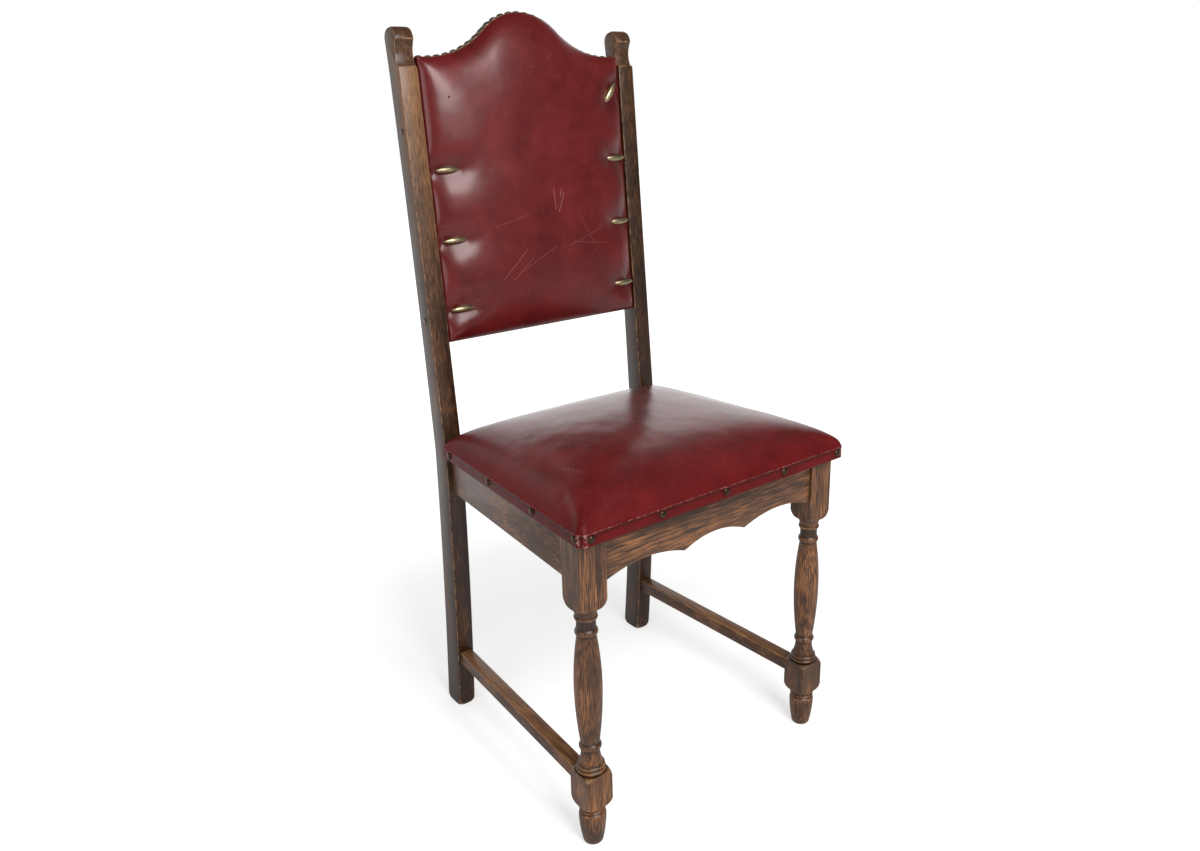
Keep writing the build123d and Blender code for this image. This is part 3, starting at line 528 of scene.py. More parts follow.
def oxblood():
    """Aniline leather, polished by use: fine pebbled grain, hair cracks, scuffs and a soft gloss, with
    painted shade in creases, folds and dimples and painted highlights along the seat's crease and pleats.
    """
    if "aniline_leather" in bpy.data.materials:
        return bpy.data.materials["aniline_leather"]
    colours = bpy.context.scene.chair_colours
    material, tree = blank_material("aniline_leather")
    place = add(tree, "ShaderNodeTexCoord", out=3)
    wear_and_highlight = layer(tree, "wear_and_highlight")
    grime_and_shade = layer(tree, "grime_and_shade")
    # The dye lies in clouds about 45 mm wide
    clouds = speckle(tree, place, 45 * MM, 4.0, 0.6)
    depth = ramp(tree, clouds, 0.3, 0.7, 0.0, 1.0)
    dark = [c * 0.6 for c in colours.leather]
    colour = blend(tree, depth, (*dark, 1), (*colours.leather, 1))
    # Pebbled grain drawn 1.6 mm wide so that it shows, and hair cracks round cells of 7 mm
    pebble = add(tree, "ShaderNodeTexVoronoi", {
        "Vector": place, "Scale": 1 / (1.6 * MM), "Randomness": 1.0}, feature="SMOOTH_F1")
    shaken = add(tree, "ShaderNodeTexNoise", {"Vector": place, "Scale": 1 / (12 * MM), "Detail": 2.0}, out=1)
    bent = add(tree, "ShaderNodeVectorMath", {0: shaken, 1: (0.008, 0.008, 0.008)}, operation="MULTIPLY")
    swayed = add(tree, "ShaderNodeVectorMath", {0: place, 1: bent}, operation="ADD")
    cells = add(tree, "ShaderNodeTexVoronoi", {
        "Vector": swayed, "Scale": 1 / (7 * MM), "Randomness": 1.0}, feature="DISTANCE_TO_EDGE")
    hair = ramp(tree, cells, 0.0, 0.05, 1.0, 0.0)
    dry = speckle(tree, place, 35 * MM, 2.0)
    dry_share = ramp(tree, dry, 0.45, 0.65, 0.0, 0.1)
    cracks = times(tree, hair, dry_share)
    # Hair scratches a few centimetres long, drawn 0.4 mm wide, scattered in two slanting directions
    scuffed = None
    for turn, seed in ((42, 0.3), (-56, 0.7)):
        slant = add(tree, "ShaderNodeMapping", {
            "Vector": place, "Location": (seed, seed, seed),
            "Rotation": (math.radians(-40), math.radians(turn), 0.0),
            "Scale": (9 * MM, 9 * MM, 160 * MM)}, vector_type="TEXTURE")
        strands = add(tree, "ShaderNodeTexVoronoi", {
            "Vector": slant, "Scale": 1.0, "Randomness": 1.0}, feature="DISTANCE_TO_EDGE")
        line = ramp(tree, strands, 0.0, 0.045, 1.0, 0.0)
        rare = add(tree, "ShaderNodeTexNoise", {"Vector": slant, "Scale": 0.9, "Detail": 2.0})
        kept = ramp(tree, rare, 0.56, 0.72, 0.0, 0.07)
        faint = times(tree, line, kept)
        scuffed = faint if scuffed is None else larger(tree, scuffed, faint)
    # Long scratches, each a straight stroke on the panel or the seat
    for flat, strokes in (((1, 0, 1), PANEL_SCRATCHES), ((1, 1, 0), SEAT_SCRATCHES)):
        spread = add(tree, "ShaderNodeVectorMath", {0: place, 1: flat}, operation="MULTIPLY")
        for start, end, strength in strokes:
            first, last = (Vector((x, y * flat[1], y * flat[2])) * MM for x, y in (start, end))
            run = last - first
            off = add(tree, "ShaderNodeVectorMath", {0: spread, 1: first}, operation="SUBTRACT")
            along = add(tree, "ShaderNodeVectorMath", {
                0: off, 1: run / run.length_squared}, out=1, operation="DOT_PRODUCT")
            along = add(tree, "ShaderNodeClamp", {"Value": along})
            foot = add(tree, "ShaderNodeVectorMath", {0: run, 3: along}, operation="SCALE")
            gap = add(tree, "ShaderNodeVectorMath", {0: off, 1: foot}, out=1, operation="DISTANCE")
            stroke = ramp(tree, gap, 0.1 * MM, 0.9 * MM, strength, 0.0)
            scuffed = larger(tree, scuffed, stroke)
    polish_and_sheen = layer(tree, "polish_and_sheen")
    handled = add(tree, "ShaderNodeMath", {0: polish_and_sheen, 1: 2.0}, operation="MULTIPLY", use_clamp=True)
    scuffed = times(tree, scuffed, handled)
    # Rubbed creases, partly painted highlight along the seat's crease and the pleats' ridges, broken up every
    # few millimetres
    flecks = speckle(tree, place, 5 * MM, 4.0, 0.7)
    broken = ramp(tree, flecks, 0.45, 0.62, 0.0, 1.0)
    rubbed = times(tree, wear_and_highlight, broken)
    pale = larger(tree, rubbed, scuffed)
    # Hair cracks darken with dirt, and creases, folds, dimples and the band's sides with painted shade
    dirt_and_shade = larger(tree, cracks, grime_and_shade)
    dirt_and_shade_colour = [c * 0.16 for c in colours.leather]
    dirt_and_shade_share = times(tree, dirt_and_shade, 0.75)
    colour = blend(tree, dirt_and_shade_share, colour, (*dirt_and_shade_colour, 1))
    colour = blend(tree, pale, colour, (*colours.leather_worn_and_highlight, 1))
    gloss = ramp(tree, clouds, 0.3, 0.7, 0.4, 0.48)
    gloss = add(tree, "ShaderNodeMath", {0: polish_and_sheen, 1: -0.15, 2: gloss}, operation="MULTIPLY_ADD")
    waxed = times(tree, polish_and_sheen, 0.7)
    mirror = add(tree, "ShaderNodeMath", {0: polish_and_sheen, 1: 0.45, 2: 0.1}, operation="MULTIPLY_ADD")
    wrinkles = speckle(tree, place, 16 * MM, 5.0, 0.6)
    coarse = add(tree, "ShaderNodeMath", {0: wrinkles, 1: 2.2, 2: pebble}, operation="MULTIPLY_ADD")
    bump = add(tree, "ShaderNodeBump", {"Height": coarse, "Strength": 0.5, "Distance": 0.06 * MM})
    return dress(material, {
        "Base Color": colour, "Roughness": gloss, "Normal": bump, "Coat Weight": waxed,
        "Coat Roughness": 0.24, "Specular IOR Level": mirror, "Specular Tint": (1.0, 0.85, 0.83, 1.0)})


def hide_edge():
    """Cut edge of undyed hide: pale tan, dry and fibrous."""
    if "hide_edge" in bpy.data.materials:
        return bpy.data.materials["hide_edge"]
    material, tree = blank_material("hide_edge")
    place = add(tree, "ShaderNodeTexCoord", out=3)
    fibres = speckle(tree, place, 3 * MM, 4.0, 0.7)
    colour = blend(tree, fibres, (*linear("6E4A30"), 1), (*linear("B08658"), 1))
    bump = add(tree, "ShaderNodeBump", {"Height": fibres, "Strength": 0.4, "Distance": 0.3 * MM})
    return dress(material, {"Base Color": colour, "Normal": bump, "Roughness": 0.8})


def old_metal(name, bright, dark, roughness):
    """Cast metal darkened by age: bright where rubbed, dull and brown where tarnished."""
    if name in bpy.data.materials:
        return bpy.data.materials[name]
    material, tree = blank_material(name)
    place = add(tree, "ShaderNodeTexCoord", out=3)
    # Tarnish in spots of about 4 mm, with a fine pitting drawn 0.8 mm wide
    spots = speckle(tree, place, 4 * MM, 4.0, 0.65)
    pits = speckle(tree, place, 0.8 * MM, 2.0)
    aged = ramp(tree, spots, 0.36, 0.64, 0.0, 1.0)
    colour = blend(tree, aged, (*dark, 1), (*bright, 1))
    dull = ramp(tree, spots, 0.3, 0.7, roughness + 0.14, roughness)
    bump = add(tree, "ShaderNodeBump", {"Height": pits, "Strength": 0.3, "Distance": 0.03 * MM})
    return dress(material, {"Base Color": colour, "Roughness": dull, "Normal": bump, "Metallic": 1.0})


def aged_brass():
    """Stamped brass of the studs, tarnished brown."""
    brass = bpy.context.scene.chair_colours.brass
    return old_metal("stamped_brass", brass, [c * 0.6 for c in brass], 0.3)


def bronzed_nail():
    """Bronzed steel of the seat's nail heads."""
    nail = bpy.context.scene.chair_colours.nail
    return old_metal("bronzed_steel", nail, [c * 0.35 for c in nail], 0.3)


def crest_nail_painted_sheen():
    """Bronzed steel of the crest's nail heads, lighter and greyer than the seat's as a painted sheen."""
    return old_metal("crest_steel_painted_sheen", linear("A39482"), linear("6A5A4A"), 0.4)


def rusted_shank():
    """Rusted stub of a lost stud's shank."""
    return old_metal("rusted_shank", linear("3A2418"), linear("1C120C"), 0.6)


def screw_steel():
    """Dull rolled steel of the screws."""
    return old_metal("rolled_steel", linear("8A8A88"), linear("55534F"), 0.4)


def post_outline():
    """Side view of a back post, from its toe up the front and down the rear."""
    front = POST_FRONT
    foot_front = front + TOE
    foot_rear = front + 61 * MM
    calf = KNEE / 2
    lean = front + (LEDGE - KNEE) * math.tan(RAKE)
    ledge = (lean + 4.5 * MM, LEDGE)
    ridge = (lean + 4 * MM, RIDGE)
    peak = (lean + 18.5 * MM, POST_TOP)
    nape = (lean + 37 * MM, RIDGE)
    neck_rear = (lean + 32 * MM, LEDGE)
    waist_rear = (front + (WAIST - KNEE) * math.tan(RAKE) + 30 * MM, WAIST)
    knee_rear = (front + 34 * MM, KNEE)
    outline = bow((foot_front, 0), ((front + foot_front) / 2 - SWEEP, calf), (front, KNEE), 18)
    outline += [(lean, LEDGE)]
    outline += bow(ledge, (lean + 9.5 * MM, 993.5 * MM), ridge, 14)
    outline += bow(ridge, (lean + 9.25 * MM, 1021 * MM), peak, 8)[1:]
    outline += bow(peak, (lean + 32 * MM, 1021 * MM), nape, 8)[1:]
    outline += [neck_rear]
    outline += bow(neck_rear, waist_rear, knee_rear, 16)[1:]
    outline += bow(knee_rear, ((knee_rear[0] + foot_rear) / 2 - SWEEP, calf), (foot_rear, 0), 18)[1:]
    return outline


class CHAIR_OT_posts(bpy.types.Operator):
    """Back posts with swept feet, raked backs and coved finials"""
    bl_idname = "chair.posts"
    bl_label = "Back posts"

    def execute(self, context):
        arris = context.scene.chair_sizes.arris
        half = (POST_OUTER - POST_INNER) / 2
        crown = 3.6 * MM
        for name, side in (("left", -1), ("right", 1)):
            middle = side * (POST_INNER + POST_OUTER) / 2
            bm = sawn([(middle - half, y, z) for y, z in post_outline()], (2 * half, 0, 0))
            for level in (KNEE, LEDGE, RIDGE):
                cut_across(bm, (0, 0, level), (0, 0, 1))
            for drop in (3.6, 2.4, 1.5, 0.8, 0.3):
                cut_across(bm, (0, 0, POST_TOP - drop * MM), (0, 0, 1))
            for vert in bm.verts:
                above = vert.co.z - (POST_TOP - crown)
                if above > 0:
                    inset = crown - math.sqrt(max(crown ** 2 - above ** 2, 0))
                    vert.co.x = middle + (vert.co.x - middle) * (half - inset) / half
            sole = [v for v in bm.verts if v.co.z < 0.1 * MM]
            bmesh.ops.bevel(
                bm, geom=sole, offset=12.5 * MM, offset_type="OFFSET", affect="VERTICES",
                segments=4, profile=0.5, material=-1, clamp_overlap=False)
            for level in (650, 750, 850, 930):
                cut_across(bm, (0, 0, level * MM), (0, 0, 1))
            ease(bm, arris)
            polish_and_sheen = bm.verts.layers.float["polish_and_sheen"]
            # The left post's front is paler towards the top, partly faded stain and partly painted sheen, and
            # both finials a little
            for vert in bm.verts:
                lean = POST_FRONT + (vert.co.z - KNEE) * math.tan(RAKE)
                if side < 0 and vert.co.y < lean + 6 * MM:
                    vert[polish_and_sheen] = 0.65 * min(max((vert.co.z - 650 * MM) / (250 * MM), 0.0), 1.0)
                if vert.co.z > LEDGE + 0.5 * MM:
                    vert[polish_and_sheen] = 0.15
            settle(bm, f"post_{name}", oak(2, 0.3), [f"rear_post_{name}"])
        return {"FINISHED"}


class CHAIR_OT_plugs(bpy.types.Operator):
    """Domed wooden plugs over the screws in the posts"""
    bl_idname = "chair.plugs"
    bl_label = "Post plugs"

    def execute(self, context):
        bm = fresh()
        wear_and_highlight = bm.verts.layers.float["wear_and_highlight"]
        grime_and_shade = bm.verts.layers.float["grime_and_shade"]
        for side in (-1, 1):
            for row in PLUG_ROWS:
                dome = bmesh.ops.create_uvsphere(bm, u_segments=28, v_segments=14, radius=1.0)["verts"]
                for vert in dome:
                    # Each dome's top is paler, partly rubbed wear and partly painted highlight; the ring
                    # where it meets the post is dark, partly a joint and partly painted shade; the rest is a
                    # little darker
                    vert[wear_and_highlight] = 0.5 if abs(vert.co.z) > 0.9 else 0.0
                    vert[grime_and_shade] = 1.0 if abs(vert.co.z) < 0.35 else 0.3
                bmesh.ops.scale(bm, vec=(5 * MM, 5 * MM, 1.6 * MM), verts=dome)
                turned = Matrix.Rotation(side * math.pi / 2, 4, "Y")
                middle = on_back(side * POST_OUTER, row, PLUG_DEPTH)
                bmesh.ops.transform(bm, matrix=Matrix.Translation(middle) @ turned, verts=dome)
        settle(bm, "plugs", oak(0), ["post_plugs"])
        return {"FINISHED"}


def leg_profile(sizes):
    """Radius and height of the turning, from the floor up."""
    top = seat_top(LEG_Y)
    corner = LEG_HALF * math.sqrt(2)
    block = top - 97 * MM
    cup = block - 18 * MM
    bead = cup - 22 * MM
    belly = bead - 74 * MM
    vase = sizes.vase_radius
    swell = sizes.bead_radius
    neck = 12.4 * MM

    def mm(*points):
        return [(radius * MM, height * MM) for radius, height in points]

    profile = [(0.0, 0.0)] + mm((11.2, 0), (12.6, 0.7), (13.4, 2))
    profile += bow(*mm((13.4, 2), (16.7, 21), (18.2, 40)), 10)[1:]
    profile += bow(*mm((18.2, 40), (17.9, 45), (15.6, 48.6)), 6)[1:]
    profile += mm((14.8, 49.4))
    profile += bow(*mm((15.2, 50), (17.5, 52.2), (15.8, 54.4)), 8)
    profile += mm((15.2, 54.8))
    profile += bow(*mm((15.8, 55.2), (18.4, 57.6), (16.4, 60)), 8)
    profile += mm((15.4, 60.4), (15.4, 61), (20, 61))
    profile += quarter(LEG_HALF, corner, 61 * MM, 12 * MM, 14)[1:]
    profile += quarter(LEG_HALF, corner, 112 * MM, -12 * MM, 14)[::-1]
    profile += mm((17.2, 112))
    profile += bow(*mm((17.2, 112.3), (19.6, 115.2), (17.6, 118)), 8)
    profile += mm((16.9, 118.4))
    profile += bow(*mm((17.2, 118.8), (18.5, 121), (16.9, 123.2)), 8)
    profile += mm((16.4, 123.6))
    profile += flare((neck, 143.5 * MM), (16.4 * MM, 123.6 * MM), 10)[-2::-1]
    profile += bow((neck, 144.5 * MM), (swell, 149.5 * MM), (neck, 154.5 * MM), 12)
    profile += flare((vase, belly), (neck, 154.5 * MM), 26)[-2::-1]
    profile += flare((vase, belly), (neck, bead), 26)[1:]
    profile += bow((neck, bead), (swell, bead + 5 * MM), (neck, bead + 10 * MM), 12)[1:]
    profile += [(neck, cup)]
    profile += [(neck + 1.6 * MM, cup + 0.8 * MM), (14.8 * MM, cup + 2 * MM), (15.1 * MM, cup + 3.4 * MM)]
    profile += [(14.6 * MM, cup + 4.8 * MM), (13.8 * MM, cup + 5.2 * MM)]
    bell = (13.8 * MM, cup + 5.2 * MM)
    profile += bow(bell, (14.8 * MM, cup + 12.4 * MM), (17.4 * MM, block - 0.4 * MM), 10)[1:]
    profile += [(17.4 * MM, block), (LEG_HALF, block)]
    profile += quarter(LEG_HALF, corner, block, 18 * MM, 18)[1:]
    profile += [(corner, top + 10 * MM), (0.0, top + 10 * MM)]
    return profile


class CHAIR_OT_legs(bpy.types.Operator):
    """Turned front legs whose shoulders run out into square blocks"""
    bl_idname = "chair.legs"
    bl_label = "Front legs"

    def execute(self, context):
        profile = leg_profile(context.scene.chair_sizes)
        for name, side in (("left", -1), ("right", 1)):
            bm = fresh()
            wear_and_highlight = bm.verts.layers.float["wear_and_highlight"]
            grime_and_shade = bm.verts.layers.float["grime_and_shade"]
            points = [bm.verts.new((radius, 0, height)) for radius, height in profile]
            # Grooves and hollows of the turning get painted shade, and proud rings paler rubbed wear
            for vert in points[1:-1]:
                nearby = [p[0] for p in profile if abs(p[1] - vert.co.z) < 4 * MM and p[0] > 0]
                stand = vert.co.x - sum(nearby) / len(nearby)
                vert[grime_and_shade] = min(max(-stand / (1.1 * MM), 0.0), 1.0)
                vert[wear_and_highlight] = min(max(stand / (2.2 * MM) - 0.15, 0.0), 0.55)
            edges = [bm.edges.new(pair) for pair in zip(points, points[1:])]
            bmesh.ops.spin(
                bm, geom=points + edges, axis=(0, 0, 1), cent=(0, 0, 0),
                angle=2 * math.pi, steps=144, use_merge=True)
            bmesh.ops.remove_doubles(bm, verts=bm.verts, dist=0.002 * MM)
            bmesh.ops.rotate(
                bm, verts=bm.verts, cent=(0, 0, 0), matrix=Matrix.Rotation(math.radians(1.25), 3, "Z"))
            flat = LEG_HALF
            arris = context.scene.chair_sizes.arris
            for vert in bm.verts:
                x, y = abs(vert.co.x), abs(vert.co.y)
                if max(x, y) > flat:
                    shrink = flat / max(x, y)
                    low = min(x, y) * shrink
                    near = max(low - (flat - arris), 0) / arris
                    shrink *= 1 - 0.022 * near ** 2
                    vert.co.x *= shrink
                    vert.co.y *= shrink
                    vert[wear_and_highlight] = 0.95 * near ** 2
                    vert[grime_and_shade] = 0.0
            bmesh.ops.translate(bm, verts=bm.verts, vec=(side * LEG_X, LEG_Y, 0))
            trim_to_seat(bm)
            settle(bm, f"leg_{name}", oak(2), [f"front_leg_{name}"], 28)
        return {"FINISHED"}


class CHAIR_OT_rails(bpy.types.Operator):
    """Seat rails, the front one with three shallow arches, and the square stretchers"""
    bl_idname = "chair.rails"
    bl_label = "Rails and stretchers"

    def execute(self, context):
        arris = context.scene.chair_sizes.arris
        front = LEG_LOW.y + 4 * MM
        low = seat_top(front) - 66 * MM
        end = LEG_X - LEG_HALF
        arches = bow((-end, low), (-(end + CUSP) / 2, low + ARCH_RISE), (-CUSP, low), 24)
        arches += bow((-CUSP, low), (0, low + ARCH_RISE), (CUSP, low), 24)[1:]
        arches += bow((CUSP, low), ((end + CUSP) / 2, low + ARCH_RISE), (end, low), 24)[1:]
        outline = [(x, front, z) for x, z in arches]
        outline += [(end, front, seat_top(front)), (-end, front, seat_top(front))]
        bm = sawn(outline, (0, RAIL, 0))
        trim_to_seat(bm)
        ease(bm, arris)
        settle(bm, "apron", oak(0), ["front_seat_rail"])

        rear = POST_FRONT + 12 * MM
        high = seat_top(rear)
        low = high - REAR_RAIL_DEPTH
        outline = [
            (-POST_INNER, rear, low), (POST_INNER, rear, low),
            (POST_INNER, rear, high), (-POST_INNER, rear, high)]
        bm = sawn(outline, (0, RAIL, 0))
        trim_to_seat(bm)
        ease(bm, arris)
        settle(bm, "rear_rail", oak(0), ["rear_seat_rail"])

        fore = LEG_Y + LEG_HALF
        aft = POST_FRONT
        heel = 7 * MM
        for name, side in (("left", -1), ("right", 1)):
            at_leg = LEG_X + LEG_HALF - 1 * MM
            at_post = POST_OUTER - 6.5 * MM
            bottom = seat_top(aft) - SIDE_RAIL_DEPTH
            outline = [(0, fore, seat_top(fore) - SIDE_RAIL_DEPTH)]
            outline += [
                (0, aft - heel + heel * math.sin(t), bottom + heel - heel * math.cos(t))
                for t in (n * math.pi / 12 for n in range(7))]
            outline += [(0, aft, seat_top(aft)), (0, fore, seat_top(fore))]
            bm = sawn(outline, (RAIL, 0, 0))
            for vert in bm.verts:
                outer = at_leg + (at_post - at_leg) * (vert.co.y - fore) / (aft - fore)
                vert.co.x = side * (outer - vert.co.x)
            ease(bm, arris)
            settle(bm, f"side_rail_{name}", oak(1), [f"side_seat_rail_{name}"])

            lift = STRETCHER_RISE - RAIL / 2
            up = STRETCHER_RISE / KNEE
            reach = POST_FRONT + TOE * (1 - up) - 4 * SWEEP * up * (1 - up)
            outline = [
                (-RAIL / 2, fore, lift), (RAIL / 2, fore, lift),
                (RAIL / 2, fore, lift + RAIL), (-RAIL / 2, fore, lift + RAIL)]
            bm = sawn(outline, (0, reach - fore, 0))
            for vert in bm.verts:
                share = (vert.co.y - fore) / (reach - fore)
                vert.co.x += side * (LEG_X + ((POST_INNER + POST_OUTER) / 2 - LEG_X) * share)
            ease(bm, arris)
            # The stretchers' tops are paler, partly rubbed by feet and partly painted sheen on the upward
            # faces
            polish_and_sheen = bm.verts.layers.float["polish_and_sheen"]
            for vert in bm.verts:
                if vert.co.z > lift + RAIL - 0.5 * arris:
                    vert[polish_and_sheen] = 0.6
            settle(bm, f"stretcher_{name}", oak(1), [f"side_stretcher_{name}"])
        return {"FINISHED"}


def swell(bm, held, pressure, cap):
    """Blows the stuffing up under the leather, which is held at some of its points."""
    index = [vert.index for vert in bm.verts if held(vert)]
    mesh = bpy.data.meshes.new("swelling")
    bm.to_mesh(mesh)
    piece = bpy.data.objects.new("swelling", mesh)
    bpy.context.scene.collection.objects.link(piece)
    group = piece.vertex_groups.new(name="held")
    group.add(index, 1.0, "REPLACE")
    cloth = piece.modifiers.new("cloth", "CLOTH")
    cloth.settings.quality = 6
    cloth.settings.mass = 0.3
    cloth.settings.tension_stiffness = 30
    cloth.settings.compression_stiffness = 30
    cloth.settings.shear_stiffness = 20
    cloth.settings.bending_stiffness = 1.5
    cloth.settings.vertex_group_mass = "held"
    cloth.settings.use_pressure = True
    cloth.settings.uniform_pressure_force = pressure
    cloth.settings.effector_weights.gravity = 0
    cloth.collision_settings.use_collision = False
    for step in range(1, 21):
        bpy.context.scene.frame_set(step)
    blown = piece.evaluated_get(bpy.context.evaluated_depsgraph_get()).data
    bm.verts.ensure_lookup_table()
    for vert, after in zip(bm.verts, blown.vertices):
        move = after.co - vert.co
        vert.co += move * min(1.0, cap / max(move.length, 1e-9))
    bpy.context.scene.frame_set(1)
    bpy.data.objects.remove(piece)
    bpy.data.meshes.remove(mesh)


def crowd(share):
    """Moves grid lines towards the edges, where the leather turns."""
    return share * (1.32 - 0.32 * share * share)


def nearest_edge(*gaps):
    """Distance to the nearest edge, rounded where two edges meet."""
    if min(gaps) <= 0:
        return 0.0
    return sum(gap ** -2.6 for gap in gaps) ** (-1 / 2.6)


def seat_outward(across, depth):
    """Direction that the seat's edge faces, seen from above."""
    half = seat_half(depth)
    over = Vector((abs(across) - (half - SEAT_CORNER), SEAT_CORNER - SKIN - depth))
    sign = -1 if across < 0 else 1
    if over.x > 0 and over.y > 0:
        over.normalize()
        return Vector((sign * over.x, -over.y, 0))
    if depth < SEAT_CORNER - SKIN:
        return Vector((0, -1, 0))
    if depth > SEAT_DEPTH - 2 * MM and abs(across) < half - 1 * MM:
        return Vector((0, 1, 0))
    return Vector((sign, 0, 0))


def skirt(bm, edges, drop, outward, steps):
    """Carries an edge down in steps, each by its own way out and down; gives each ring of points."""
    rings = []
    for out, down in steps:
        grown = bmesh.ops.extrude_edge_only(bm, edges=edges)["geom"]
        ring = [v for v in grown if isinstance(v, bmesh.types.BMVert)]
        edges = [e for e in grown if isinstance(e, bmesh.types.BMEdge) and all(v in ring for v in e.verts)]
        for vert in ring:
            vert.co += outward(vert.co) * out + drop * down
        rings.append(ring)
    return rings


class CHAIR_OT_seat(bpy.types.Operator):
    """Stuffed leather seat with a nailed band round its edge"""
    bl_idname = "chair.seat"
    bl_label = "Seat"

    def execute(self, context):
        sizes = context.scene.chair_sizes
        bm = fresh()
        wear_and_highlight = bm.verts.layers.float["wear_and_highlight"]
        grime_and_shade = bm.verts.layers.float["grime_and_shade"]
        polish_and_sheen = bm.verts.layers.float["polish_and_sheen"]
        bmesh.ops.create_grid(bm, x_segments=96, y_segments=88, size=1.0)
        rim = {v for e in bm.edges if e.is_boundary for v in e.verts}
        for vert in bm.verts:
            depth = (crowd(vert.co.y) + 1) / 2 * (SEAT_DEPTH + SKIN) - SKIN
            half = seat_half(depth)
            across = crowd(vert.co.x) * half
            gap = nearest_edge(depth + SKIN, SEAT_DEPTH - depth, half - abs(across))
            level = min(gap / SEAT_SWELL, 1.0)
            rise = sizes.seat_crown * (1 - (1 - level) ** 2.2) ** 0.646
            over = (abs(across) - (half - SEAT_CORNER)) / SEAT_CORNER
            fore = (SEAT_CORNER - SKIN - depth) / SEAT_CORNER
            if over > 0 and fore > 0:
                sign = -1 if across < 0 else 1
                across = sign * (half - SEAT_CORNER + SEAT_CORNER * over * math.sqrt(1 - fore * fore / 2))
                depth = SEAT_CORNER - SKIN - SEAT_CORNER * fore * math.sqrt(1 - over * over / 2)
            vert.co = (across, depth, BAND_TOP + rise)
        swell(bm, lambda vert: vert in rim, 3.0, 5 * MM)
        inner = [vert for vert in bm.verts if vert not in rim]
        smooth_rise(bm, inner, 10)
        for vert in bm.verts:
            ripple = noise.noise(vert.co * 30) * 0.4 * MM + noise.noise(vert.co * 90) * 0.2 * MM
            edge = min(vert.co.z - BAND_TOP, 20 * MM) / (20 * MM)
            vert.co.z += ripple * edge
            vert[polish_and_sheen] = min(max(vert.co.z - BAND_TOP - 8 * MM, 0.0) / (32 * MM), 1.0) ** 1.3
        edges = [e for e in bm.edges if e.is_boundary]
        rings = skirt(bm, edges, Vector((0, 0, -1)), lambda p: seat_outward(p.x, p.y), [
            (0.7 * MM, 0.3 * MM), (0.1 * MM, 1.0 * MM), (-0.6 * MM, 0.9 * MM), (0.2 * MM, 5.8 * MM),
            (0.1 * MM, 6.4 * MM), (-0.4 * MM, 2.4 * MM), (-0.9 * MM, 0.7 * MM), (-2.6 * MM, 0.1 * MM)])
        # Along the crease under the crown's lip: a pale line, partly rubbed wear and partly painted
        # highlight, stronger at the front; below it a ring of painted shade
        for vert in rings[0] + rings[1]:
            vert[wear_and_highlight] = 0.3 if vert.co.y < 20 * MM else 0.15
        for vert in rings[2]:
            vert[grime_and_shade] = 0.9
        nails = [Vector((across, 0)) for across in FRONT_NAILS]
        nails += [Vector((side * seat_half(depth), depth)) for side in (-1, 1) for depth in SIDE_NAILS]
        for order, ring in enumerate(rings):
            for vert in ring:
                vert[polish_and_sheen] = 0.0
                here = Vector((vert.co.x, vert.co.y))
                gap = min((here - nail).length for nail in nails)
                pull = math.exp(-(gap / (9 * MM)) ** 2)
                wave = noise.noise(vert.co * 55)
                way = seat_outward(vert.co.x, vert.co.y)
                if order in (0, 1, 2):
                    vert.co.z += (0.7 * wave - 0.9 * pull) * MM
                # Painted shade darkens the band along the seat's sides
                if order > 2 and abs(way.x) > 0.9:
                    vert[grime_and_shade] = 0.35
                # The band is pulled in and darker round each nail
                if order in (3, 4):
                    vert.co += way * (0.5 * wave - 0.7 * pull) * MM
                    vert[grime_and_shade] = max(vert[grime_and_shade], 0.55 * pull)
                # The pleat at each front corner: painted shade in its fold and a pale painted highlight on
                # its ridges
                slant = SEAT_CORNER * (math.atan2(abs(way.y), abs(way.x)) - math.pi / 4)
                if way.y < -0.02 and abs(way.x) > 0.02 and order < 6:
                    fold = math.exp(-(slant / (2.2 * MM)) ** 2)
                    ridge = math.exp(-((abs(slant) - 5 * MM) / (2.5 * MM)) ** 2)
                    vert.co += way * (0.9 * ridge - 1.8 * fold) * MM
                    vert[grime_and_shade] = max(vert[grime_and_shade], 0.8 * fold)
                    vert[wear_and_highlight] = max(vert[wear_and_highlight], 0.7 * ridge)
        tongue = bmesh.ops.create_cube(bm, size=1.0)["verts"]
        bmesh.ops.scale(
            bm, verts=tongue, vec=(2 * TONGUE_HALF, TONGUE_END - SEAT_DEPTH + 6 * MM, BAND_TOP + 1.5 * MM))
        bmesh.ops.translate(
            bm, verts=tongue, vec=(0, (TONGUE_END + SEAT_DEPTH - 4 * MM) / 2, (BAND_TOP - 1.5 * MM) / 2))
        corner_edges = list(dict.fromkeys(e for v in tongue for e in v.link_edges))
        bmesh.ops.bevel(
            bm, geom=corner_edges, offset=2.5 * MM, offset_type="OFFSET", affect="EDGES",
            segments=3, profile=0.5, material=-1)
        for vert in bm.verts:
            vert.co = on_seat(*vert.co)
        seat = settle(
            bm, "seat_cushion", oxblood(), ["seat_cover", "seat_padding"], 50)
        return {"FINISHED"}


def stud_places():
    """Each stud's place on the back, and its turn."""
    places = []
    for side in (-1, 1):
        for row, up in enumerate(STUD_ROWS):
            if side < 0 and row == 3:
                continue
            places.append((side * STUD_X, up, TURNED_STUD if side > 0 and row == 3 else 0.0))
    return places


def reach_of(point, start, end):
    """Distance from a point to a straight line between two others."""
    run = end - start
    share = min(max((point - start).dot(run) / max(run.length_squared, 1e-12), 0.0), 1.0)
    return (point - start - run * share).length


